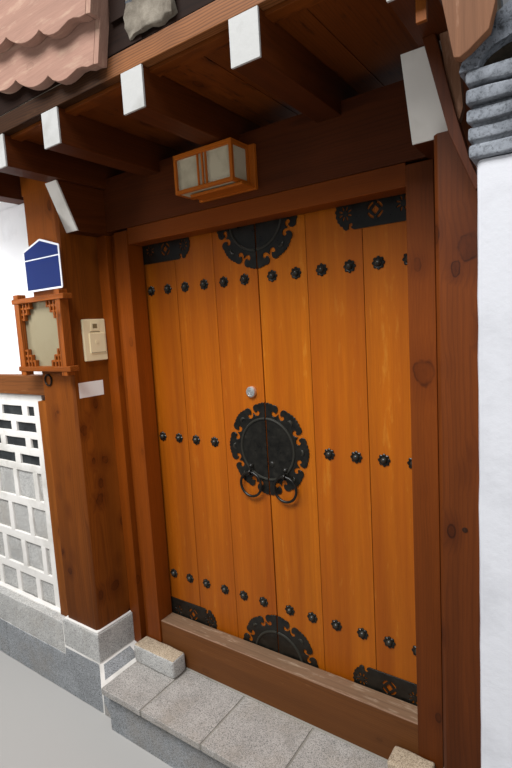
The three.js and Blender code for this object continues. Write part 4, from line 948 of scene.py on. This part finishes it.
BRACE = [(722, 2350), (778, 2128), (831, 1999), (846, 2003), (821, 2065), (791, 2176), (767, 2278), (750, 2350)]
BRACE_STRIP = [(757, 2350), (792, 2350), (806, 2183), (797, 2155), (778, 2200)]
VERGE_FOOT = [
    (835, 2194), (846, 2191), (862, 2199), (895, 2222), (905, 2262), (905, 2517), (718, 2517), (739, 2460),
    (804, 2360),
]
# Old stained pine that rain has greyed: dry and reddish brown.
browned_pine = pine(
    "browned_verge_pine", "#80583f", "#5f3f2c", 0.75, ring=10.0, contrast=0.5, worn=("#94705a", 0.3), knots=0.5,
    rings_shown=0.2,
)
# The brace's main board takes the dark eave stain as painted shade up under the roof, and its strip the browned
# pine.
brace = [
    along_grain(prism(BRACE, "y", (-360, -324), 2.5), "z"),
    along_grain(prism(BRACE_STRIP, "y", (-350, -325)), "z"),
]
for face in brace[1].faces:
    face.material_index = 1
fitted("right_brace_timber", brace, [sooty_pine, browned_pine], ["right_brace_board"], slot="stained_pine")
end_block = timber((753, 774), (-508, -498), (2305, 2351), "z", 1)
fitted("rafter_end_block", [end_block], trim_pine, slot="stained_pine")
verge = along_grain(prism(VERGE_FOOT, "y", (-561, -537.2), 2.5), "z")
fitted("right_verge_timber", [verge], browned_pine, ["right_verge_board"], slot="weathered_pine")


# Gate leaves
# Each leaf is three planed pine planks under clear honey varnish, with a half-round
# hinge edge that ends in turned pins, and three battens across its back.

LEAF_Z, LEAF_BACK, HINGE_X = (375, 2128), 45, 611
PLANK_JOINTS, STILE_X = (2, 209, 418), 418.8
BATTENS_Z, PIN_RADIUS = (601, 1258, 1910), 11.3


def varnished(name, early, late, worn, shade_fades):
    """Honey varnish over wide, straight-grained planks: a low gloss, broad warm bands, painted shade towards
    the foot, and painted shade along each fade given.
    """
    return pine(
        name, early, late, 0.42, ring=14.0, contrast=0.36, board=0.05, knots=0.0, sheen=0.3, rings_shown=0.12,
        worn=worn, foot=0.74, shade_fades=shade_fades, bands=0.65,
    )


# The left leaf's copy of the varnish is painted redder and darker as shade, darkest at its top under the eave
# and towards its hinge beside the post.
shaded_honey_pine_left = varnished(
    "varnished_honey_pine_of_the_left_leaf_in_painted_shade", "#ba620a", "#873a05", ("#c07622", 0.12),
    (("Z", 1.75, 2.1, 0.72), ("X", 0.28, -0.02, 0.84)),
)
# The right leaf's copy is painted more golden, as lit by more of the sky, with paler rubbed streaks and painted
# shade of the eave at its top.
honey_pine_right = varnished(
    "varnished_honey_pine_of_the_right_leaf", "#c06808", "#8f4005", ("#c47c24", 0.16), (("Z", 1.75, 2.1, 0.82),)
)
for side, name, wood in ((-1, "left_leaf", shaded_honey_pine_left), (1, "right_leaf", honey_pine_right)):
    planks = [
        timber(mirrored_span(side, x0 + 0.4, x1 - 0.8), (0, LEAF_BACK), LEAF_Z, "z", 1.6)
        for x0, x1 in zip(PLANK_JOINTS, PLANK_JOINTS[1:])
    ]
    middle = LEAF_BACK / 2
    stile = [(STILE_X, 0)] + circle(HINGE_X, middle, middle, 16, -math.pi / 2, math.pi) + [(STILE_X, LEAF_BACK)]
    planks.append(along_grain(prism([(side * x, y) for x, y in stile], "z", LEAF_Z, 1.6), "z"))
    for z in BATTENS_Z:
        planks.append(timber(mirrored_span(side, 25, 599), (44, 80), (z - 45, z + 45), "x", 4))
    for ends in ((345, 376), (2127, 2158)):
        pin = prism(circle(side * HINGE_X, middle, PIN_RADIUS, 24), "z", ends, 1)
        planks.append(along_grain(pin, "z"))
    fitted(name + "_planks", planks, wood, [name], body=name, slot="honey_pine")


# Ironwork on the leaves
# Black-lacquered plates cut from sheet, with chased rings and bosses: a whole roundel over
# the seam, halves at the top and bottom, corner straps, and three rows of rosette knobs.

PLATE_FRONT, SEAM_HALF = -4, 3
OUTWARDS = Vector((0, -1, 0))
ROUNDEL_Z, MEAN_RADIUS, LOBE_ANGLE = 1252, 165, 45
# Half of the opening between two lobes, as tangential and radial places from its middle.
HALF_GAP = (
    (0, 152), (3, 146), (8, 139.5), (16, 135.5), (25, 136), (31.5, 141), (33, 148.5), (28.5, 154.5), (22, 155),
    (17.5, 150.5), (13, 150), (9, 155), (7, 163), (8.5, 171.5), (14.5, 178.5), (24, 181), (33, 179),
)
FULL, TOP_HALF, BOTTOM_HALF = (-90, 90), (-90, 0), (0, 90)
# A corner strap's outline, from the hinge edge to its scrolled inner end.
STRAP = (
    (611, 0), (611, 102), (392, 102), (384, 98), (381, 92), (386, 88), (386, 83), (380, 80), (374, 83),
    (372, 91), (371, 99), (362, 102), (354, 97), (351, 88), (343, 86), (340, 78), (333, 73), (333, 64),
    (327, 57), (330, 47), (325, 39), (331, 31), (329, 21), (337, 15), (338, 5), (345, 0),
)
FLOWERS_X, FLOWER_Z, COIN_X, COIN_Z, BORDER_PETALS = (362, 556), 48, 465, 52, 14
# Radius and y of the knob's petalled washer and of its dome.
WASHER = ((22.5, 0.2), (22.5, -2.4), (19, -4.6), (13.4, -3.6), (8, -3.2), (0, -3.2))
DOME = ((10.6, -3), (10.6, -5), (9.4, -9), (6.4, -12.2), (3, -13.6), (0, -14))
KNOBS_X = (63, 164, 266, 370, 470, 570)
KNOB_ROWS = ((1910, KNOBS_X), (1258, KNOBS_X[2:]), (601, KNOBS_X))
RING_X, RING_Y, RING_TOP, RING_RADIUS, RING_BAR = 80, -16, 1153, 49, 5.2

# Sheet iron, hammered over 9 mm and lacquered black: an uneven low gloss.
iron, shader, add = new_material("black_lacquered_iron", 0.4)
place = add("TexCoord", "Object")
cloud = add("TexNoise", "Fac", Vector=place, Scale=per_metre(25), Detail=6.0, Roughness=0.65)
shown = add(
    "ValToRGB", 0, {"stops": [(0.35, "#0f0e0b"), (0.62, "#1c1a15"), (0.8, "#2d2a22")]}, Fac=cloud
)
matt = add("MapRange", 0, Value=cloud, i1=0.3, i2=0.8, i3=0.26, i4=0.5)
hammered = add("TexNoise", "Fac", Vector=place, Scale=per_metre(9.091), Detail=3.0)
relief = add("Bump", "Normal", Strength=0.4, Distance=1.2 * MM, Height=hammered)
set_inputs(shader, Base_Color=shown, Roughness=matt, Normal=relief)
# Raised rings and domes in a greyer sheen: lacquer rubbed thin, with a painted highlight on the raised relief.
rubbed_highlit_iron = new_material("iron_rubbed_thin_with_painted_highlight", 0.34, Base_Color=colour("#2c2b25"))[0]
# Stainless steel, turned and brushed: bright, with a soft reflection.
brushed_steel = new_material("brushed_stainless_steel", 0.5, Metallic=1.0, Base_Color=colour("#eeeeec"))[0]


def roundel_edge(start, stop):
    """The lobed edge, from one angle to another in degrees, as angle and radius pairs."""
    edge = []
    gap_half = math.degrees(HALF_GAP[-1][0] / MEAN_RADIUS)
    for middle in range(-90, 91, LOBE_ANGLE):
        low, high = middle - LOBE_ANGLE / 2 + gap_half, middle + LOBE_ANGLE / 2 - gap_half
        for i in range(37):
            share = i / 36
            bead = 3.4 * abs(math.sin(5 * math.pi * share))
            edge.append((low + share * (high - low), 178 + 4 * math.sin(math.pi * share) + bead))
        run = [(-t, r) for t, r in reversed(HALF_GAP)] + list(HALF_GAP[1:])
        edge += [(middle + LOBE_ANGLE / 2 + math.degrees(t / MEAN_RADIUS), r) for t, r in run]
    return [(angle, radius) for angle, radius in edge if start <= angle <= stop]


def sheet_iron(loops, y=(PLATE_FRONT, 0.3), rim=1.0):
    """A plate from closed outlines in x and z. A loop inside another is a hole in it."""
    shape = bpy.data.curves.new("plate", "CURVE")
    shape.dimensions = "2D"
    shape.fill_mode = "BOTH"
    shape.extrude = ((y[1] - y[0]) / 2 - rim) * MM
    shape.bevel_depth = rim * MM
    shape.offset = -rim * MM
    for loop in loops:
        spline = shape.splines.new("POLY")
        spline.points.add(len(loop) - 1)
        for point, (x, z) in zip(spline.points, loop):
            point.co = (x * MM, z * MM, 0, 1)
        spline.use_cyclic_u = True
    holder = bpy.data.objects.new("plate", shape)
    mesh = bmesh.new()
    mesh.from_mesh(holder.to_mesh())
    holder.to_mesh_clear()
    bpy.data.objects.remove(holder)
    bmesh.ops.remove_doubles(mesh, verts=mesh.verts, dist=0.02 * MM)
    middle = (y[0] + y[1]) / 2
    for v in mesh.verts:
        v.co = SEAM_AT + Vector((v.co.x, middle * MM - v.co.z, v.co.y))
    bmesh.ops.recalc_face_normals(mesh, faces=mesh.faces)
    if mesh.calc_volume(signed=True) < 0:
        bmesh.ops.reverse_faces(mesh, faces=mesh.faces)
    return mesh


def tube(path, radii, facing, sides=8, closed=False):
    """A round bar along places in the gate's frame; facing is a direction off its plane."""
    points = [Vector(place) for place in path]
    if not isinstance(radii, list):
        radii = [radii] * len(points)
    rings = []
    for i, (point, radius) in enumerate(zip(points, radii)):
        after = points[(i + 1) % len(points)] if closed or i + 1 < len(points) else point
        before = points[i - 1] if closed or i else point
        across = (after - before).normalized().cross(facing).normalized()
        rings.append([point + across * a + facing * b for a, b in circle(0, 0, radius, sides)])
    return solid(rings, closed)


def turned(profile, x, z, sides=24, petals=0, scallop=0.0):
    """Revolves (radius, y) places about an axis square to the leaf; petals scallop its rim."""
    rings = []
    for radius, y in profile:
        ring = []
        for k in range(sides if radius > 0.01 else 1):
            turn = math.tau * k / sides
            at_rim = petals and radius > 0.6 * profile[0][0]
            reach = radius * (1 - scallop * (1 - abs(math.cos(petals * turn / 2)))) if at_rim else radius
            ring.append((x + reach * math.cos(turn), y, z + reach * math.sin(turn)))
        rings.append(ring)
    return solid(rings)


# Gives faces the second material: lacquer rubbed thin, with a painted highlight.
def rubbed_and_highlit(mesh):
    for face in mesh.faces:
        face.material_index = 1
    return mesh


def on_circle(side, middle_z, radius, degrees):
    """A place in x and z on one leaf's half of a circle, kept clear of the seam."""
    angle = math.radians(degrees)
    return side * max(SEAM_HALF, radius * math.cos(angle)), middle_z + radius * math.sin(angle)


def roundel(side, middle_z, start, stop, ring_radius):
    """One leaf's part of a roundel: its plate, its chased ring and its crescent bosses."""
    loop = [on_circle(side, middle_z, radius, angle) for angle, radius in roundel_edge(start, stop)]
    if stop - start < 180:
        loop.append((side * SEAM_HALF, middle_z))
    chased = []
    for i in range(49):
        x, z = on_circle(side, middle_z, ring_radius, start + (stop - start) * i / 48)
        chased.append((x, PLATE_FRONT, z))
    solids = [sheet_iron([loop]), rubbed_and_highlit(tube(chased, 5.2, OUTWARDS))]
    for lobe in range(-90, 91, LOBE_ANGLE):
        if start - 1 < lobe < stop + 1 and abs(lobe) != 90:
            x, z = on_circle(side, middle_z, 148, lobe)
            bow = circle(0, 0, 12, 12, math.radians(lobe - 80), math.radians(160))
            widths = [0.6 + 5.4 * math.sin(math.pi * i / 12) for i in range(13)]
            solids.append(rubbed_and_highlit(tube([(x + side * a, PLATE_FRONT, z + b) for a, b in bow], widths, OUTWARDS)))
    return solids


def slot_loop(x, z, length, width, turn):
    """A lens-shaped slot in x and z, turned by an angle."""
    loop = []
    for a, b in circle(0, 0, 0.5, 16):
        a, b = a * length, b * width
        loop.append((x + a * math.cos(turn) - b * math.sin(turn), z + a * math.sin(turn) + b * math.cos(turn)))
    return loop


def coin_holes(x, z):
    """A coin pattern: a diamond window inside four curved slots."""
    holes = [[(x - 13, z), (x, z + 15), (x + 13, z), (x, z - 15)]]
    for quarter in range(4):
        outer = circle(0, 0, 27, 8, math.radians(90 * quarter + 13), math.radians(64))
        shares = [(21 - 2 * math.sin(math.pi * i / 8)) / 27 for i in range(9)]
        inner = [(a * share, b * share) for (a, b), share in zip(outer, shares)]
        holes.append([(x + a, z + b) for a, b in outer + inner[::-1]])
    return holes


def strap(side, top):
    """A corner strap with a scrolled inner end; top is True for the one under the lintel."""
    way, base = (-1, LEAF_Z[1]) if top else (1, LEAF_Z[0])
    holes = coin_holes(side * COIN_X, base + way * COIN_Z)
    for flower_x in FLOWERS_X:
        x, z = side * flower_x, base + way * FLOWER_Z
        for petal in range(8):
            turn = math.radians(22.5 + 45 * petal)
            holes.append(slot_loop(x + 17 * math.cos(turn), z + 17 * math.sin(turn), 15, 5.5, turn))
    if side < 0 and not top:
        for petal in range(BORDER_PETALS):
            turn = math.tau * (petal + 0.5) / BORDER_PETALS
            x, z = side * FLOWERS_X[0] + 27 * math.cos(turn), base + way * FLOWER_Z + 27 * math.sin(turn)
            holes.append(slot_loop(x, z, 6, 3.2, turn))
    return sheet_iron([[(side * x, base + way * z) for x, z in STRAP]] + holes, rim=0.7)


for side, name in ((-1, "left_leaf"), (1, "right_leaf")):
    plates = roundel(side, LEAF_Z[1], *TOP_HALF, 116) + roundel(side, LEAF_Z[0], *BOTTOM_HALF, 112)
    plates += [strap(side, True), strap(side, False)]
    for z, places in KNOB_ROWS:
        for x in places:
            plates += [turned(WASHER, side * x, z, 32, 8, 0.22), rubbed_and_highlit(turned(DOME, side * x, z, 16))]
    fitted(name + "_ironwork", plates, [iron, rubbed_highlit_iron], body=name, slot="black_iron")
for side, name in ((-1, "left"), (1, "right")):
    x = side * RING_X
    plates = roundel(side, ROUNDEL_Z, *FULL, 121)
    eye = circle(RING_TOP, RING_Y, 9, 24, math.radians(60), math.radians(-300))
    plates.append(tube([(x, y, z) for z, y in eye], 4.2, Vector((1, 0, 0))))
    plates.append(box((x - 11, x + 11), (-8, -3), (RING_TOP - 14, RING_TOP + 34), 2))
    plates.append(turned(((10, -7), (10, -10), (7, -14), (3, -16), (0, -16.5)), x, RING_TOP + 24, 16))
    for rivet_x, rise in ((30, 60), (58, -8), (26, -72)):
        plates.append(turned(((3, -3.5), (2.6, -5), (0, -5.8)), side * rivet_x, ROUNDEL_Z + rise, 12))
    if side > 0:
        plates.append(turned(((12, -3.5), (12, -6), (8, -9), (0, -10)), 17, 1193, 20))
    fitted(
        name + "_roundel_iron", plates, [iron, rubbed_highlit_iron], [name + "_roundel"], body=name + "_leaf",
        slot="black_iron",
    )
    ring = [(a, RING_Y, z) for z, a in circle(RING_TOP - RING_RADIUS, x, RING_RADIUS, 48)]
    fitted(
        name + "_knocker_ring_iron", [tube(ring, RING_BAR, OUTWARDS, 12, True)], iron, [name + "_knocker_ring"],
        body=name + "_knocker", slot="black_iron",
    )
LOCK_PROFILE = (
    (22, 0.2), (22, -8), (19.5, -11.5), (16, -12), (15, -9), (14, -9), (12.6, -12.4), (8, -13), (7.4, -10.5),
    (6.4, -10.5), (5.6, -12.5), (0, -12.5),
)
lock = turned(LOCK_PROFILE, -60, 1476, 40)
fitted("lock_cylinder_steel", [lock], brushed_steel, ["lock_cylinder"], body="left_leaf", slot="steel")


# Lamp on the header
# A small pine box with rice-paper windows behind thin bars, over a wider tray.

LAMP_LEFT, LAMP_RIGHT, LAMP_Z, RAIL = -197, 62, (2210, 2340), 12
LAMP_ENDS = ((LAMP_LEFT, LAMP_LEFT + RAIL), (LAMP_RIGHT - RAIL, LAMP_RIGHT))
LAMP_SIDES = ((-206, -194), (-120, -108))
# Planed pine in clear lacquer, yellower than the gate and evenly grained.
lamp_pine = pine("lamp_pine", "#b6601a", "#82400e", 0.45, ring=5.0, contrast=0.5, knots=0.0)
# Handmade paper: cloudy with fibres, matt, dim with no light behind it.
rice_paper = plaster("fibrous_rice_paper", "#b3a88f", 0.8, 0.25, "#8c826c")

lamp = [timber(x, y, LAMP_Z, "z", 1.5) for x in LAMP_ENDS for y in LAMP_SIDES]
for z in ((LAMP_Z[0], LAMP_Z[0] + 13), (LAMP_Z[1] - 13, LAMP_Z[1])):
    lamp += [timber((LAMP_LEFT + 11, LAMP_RIGHT - 11), y, z, "x", 1.5) for y in LAMP_SIDES]
    lamp += [timber(x, (-195, -119), z, "y", 1.5) for x in LAMP_ENDS]
lamp.append(timber((LAMP_LEFT, LAMP_RIGHT), (-206, -108), (2339, 2344), "x", 1))
lamp.append(timber((-150, 80), (-180, -106), (2198, 2208), "x", 1.5))
lamp.append(timber((-170, 86), (-109, -95), (2196, 2344), "z", 1.5))
lamp += [timber((x - 3, x + 3), (-204, -196), (2222, 2328), "z", 1) for x in (-88, -68, -52)]
fitted("lamp_frame", lamp, lamp_pine, ["lamp_box"], slot="honey_pine")
paper = box((LAMP_LEFT + 5, LAMP_RIGHT - 5), (-198, -112), (2212, 2338), 1)
fitted("lamp_paper", [paper], rice_paper, slot="honey_pine")


# Sign box, address plate, door phone and note
# A lattice-cornered pine frame around a bare cream panel, a blue enamelled plate on a
# spacer, a beige moulded door phone on the post's side, and a plain paper note.

FIELD_LEFT, FIELD_RIGHT, FIELD_BOTTOM, FIELD_TOP = -1072, -802, 1610, 1888
LATTICE = (76, 50, 26)
PLATE_SHAPE = [(-1037, 1935), (-775, 1935), (-775, 2113), (-906, 2152), (-1037, 2113)]
UPPER_FIELD = [(-1029, 2073), (-783, 2073), (-783, 2107), (-906, 2143), (-1029, 2107)]
LOWER_FIELD = [(-1029, 1943), (-783, 1943), (-783, 2068), (-1029, 2068)]
# Pine under glossy lacquer, with its bold grain brought up by the finish.
sign_pine = pine("lacquered_sign_pine", "#a85a22", "#6c3610", 0.4, contrast=0.9, knots=0.0)
# Board painted a flat cream, yellowed by the weather, and darkened as painted shade inside the sign's frame.
shaded_cream_paint = plaster("cream_painted_board_in_painted_shade", "#8f8469", 0.6, 0.15, "#8a7d62")
# Glass enamel fired on steel: deep blue, smooth and glossy.
blue_enamel = new_material("blue_vitreous_enamel", 0.3, Base_Color=colour("#182a63"), Coat_Weight=0.1)[0]
# The plate's white enamelled edge, with a stronger shine.
white_enamel = new_material("white_vitreous_enamel", 0.3, Base_Color=colour("#e6e7ea"), Coat_Weight=0.4)[0]
# Moulded ABS, aged to a warm beige: satin and even.
beige_plastic = new_material("beige_moulded_plastic", 0.45, Base_Color=colour("#fbebc0"))[0]
# Smoked plastic in the window and the seams, a darker shade of the case.
smoked_plastic = new_material("dark_smoked_plastic", 0.3, Base_Color=colour("#8a7a55"))[0]
# Paper in a clear film: flat, white and slightly shiny.
note_paper = plaster("laminated_note_paper", "#fdfaf4", 0.4, 0.02, "#f6f2ea")


def rounded(corners, radius):
    """An outline with each corner swept round by that radius."""
    loop = []
    for i, corner in enumerate(corners):
        here = Vector(corner)
        for other, shares in ((corners[i - 1], (1.0, 0.55)), (corners[(i + 1) % len(corners)], (0.55, 1.0))):
            way = (Vector(other) - here).normalized()
            loop += [tuple(here + way * radius * share) for share in shares]
    return loop


sign = [timber(x, (-328, -288), (1569, 1929), "z", 3) for x in ((-1110, FIELD_LEFT), (FIELD_RIGHT, -764))]
for z in ((1588, FIELD_BOTTOM), (FIELD_TOP, 1910)):
    sign.append(timber((-1120, -734), (-332, -288), z, "x", 3))
for corner_x, corner_z, way_x, way_z in (
    (FIELD_LEFT, FIELD_BOTTOM, 1, 1), (FIELD_RIGHT, FIELD_BOTTOM, -1, 1), (FIELD_LEFT, FIELD_TOP, 1, -1),
    (FIELD_RIGHT, FIELD_TOP, -1, -1),
):
    for level, reach in enumerate(LATTICE):
        x, z = corner_x + way_x * (22 + 24 * level), corner_z + way_z * (22 + 24 * level)
        across, up = sorted((corner_x, corner_x + way_x * reach)), sorted((corner_z, corner_z + way_z * reach))
        sign.append(timber(across, (-320, -304), (z - 5, z + 5), "x", 1))
        sign.append(timber((x - 5, x + 5), (-322, -306), up, "z", 1))
fitted("sign_frame", sign, sign_pine, ["sign_box"], slot="honey_pine")
# The sign's panel, its cream darkened as painted shade.
panel = box((FIELD_LEFT - 2, FIELD_RIGHT + 2), (-303, -288), (FIELD_BOTTOM - 4, FIELD_TOP + 4), 1)
fitted("sign_panel", [panel], shaded_cream_paint, slot="honey_pine")
spacer = box((-936, -876), (-297, -287), (1994, 2054), 1)
plate = [sheet_iron([rounded(PLATE_SHAPE, 9)], (-300.4, -297), 0.5), spacer]
fitted("address_plate_edge", plate, white_enamel, ["address_plate"], slot="blue_enamel")
fields = [sheet_iron([loop], (-301, -300), 0.2) for loop in (UPPER_FIELD, LOWER_FIELD)]
fitted("address_plate_field", fields, blue_enamel, slot="blue_enamel")
phone = [
    box((-792, -778), (-219, -100), (1620, 1803), 4), box((-780, -774), (-192, -108), (1652, 1741), 3),
    tube([(-776, -155, 1703), (-772.5, -155, 1703)], 9, Vector((0, 0, 1)), 24),
    box((-779, -776.5), (-180, -134), (1752, 1790), 1),
]
fitted("door_phone_case", phone, beige_plastic, ["door_phone"], slot="beige_plastic")
dark_parts = [
    box((-779, -776.1), (-170, -146), (1762, 1782), 0.8),
    box((-779, -777.4), (-186, -132), (1745.5, 1748.5), 0.4),
    box((-779, -773.6), (-188, -112), (1655, 1657), 0.4),
]
fitted("door_phone_window", dark_parts, smoked_plastic, slot="beige_plastic")
ring = [(x, -290, z) for x, z in circle(-965, 1545, 24, 32)]
fitted("post_ring", [tube(ring, 3.6, OUTWARDS, 10, True)], iron, slot="black_iron")
fitted("post_note", [box((-792, -790.8), (-260, -131), (1463, 1530), 0.3)], note_paper, slot="lime_plaster")


# Floor, light and camera
# A plain pale floor, the soft light of an open sky between walls, and the camera at the
# place and angle of the photograph.

FLOOR_REACH = 8.0
scene = bpy.context.scene
corners = [(a * FLOOR_REACH, b * FLOOR_REACH, 0) for a, b in ((-1, -1), (1, -1), (1, 1), (-1, 1))]
floor_mesh = bpy.data.meshes.new("floor")
floor_mesh.from_pydata(corners, [], [(0, 1, 2, 3)])
floor_mesh.materials.append(new_material("pale_floor", 0.85, Base_Color=colour("#a6a4a1"))[0])
floor = bpy.data.objects.new("floor", floor_mesh)
scene.collection.objects.link(floor)
floor.visible_glossy = False

world = bpy.data.worlds.new("open_sky")
world.use_nodes = True
set_inputs(world.node_tree.nodes["Background"], Color=colour("#eef1f5"), Strength=0.17)
scene.world = world
scene.view_settings.view_transform = "Standard"
# Each light: its place and target in metres, its two sizes and its watts. Only the open sky
# shows in glossy faces.
for name, place, target, size, power in (
    ("open_sky_above", (0.2, -2.95, 5.5), (0.4, 0.0, 1.0), (3.6, 1.7), 375),
    ("soft_fill_from_the_front", (0.9, -4.5, 2.0), (0.4, 0.0, 1.2), (2.4, 2.0), 10),
    ("white_wall_at_the_right", (3.1, -1.5, 1.7), (-0.3, -0.1, 1.3), (1.2, 1.8), 17),
    ("open_sky_at_the_left", (-2.9, -1.9, 2.5), (-1.2, -0.1, 2.0), (1.0, 1.0), 20),
    ("pale_wall_opposite", (-1.35, -0.9, 1.95), (-0.8, -0.1, 2.0), (0.4, 0.4), 9),
):
    lamp_data = bpy.data.lights.new(name, "AREA")
    lamp_data.shape = "RECTANGLE"
    lamp_data.size, lamp_data.size_y = size
    lamp_data.energy = power
    light = bpy.data.objects.new(name, lamp_data)
    light.location = place
    light.rotation_euler = (Vector(target) - Vector(place)).to_track_quat("-Z", "Y").to_euler()
    light.visible_glossy = name == "open_sky_above"
    scene.collection.objects.link(light)

camera_data = bpy.data.cameras.new("camera")
camera_data.lens = 23.41
camera_data.sensor_width = 36
camera_data.clip_start = 0.02
camera = bpy.data.objects.new("camera", camera_data)
camera.location = (1.651, -1.440, 1.730)
camera.rotation_euler = [math.radians(angle) for angle in (83.40073, 3.313697, 34.636221)]
scene.collection.objects.link(camera)
scene.camera = camera
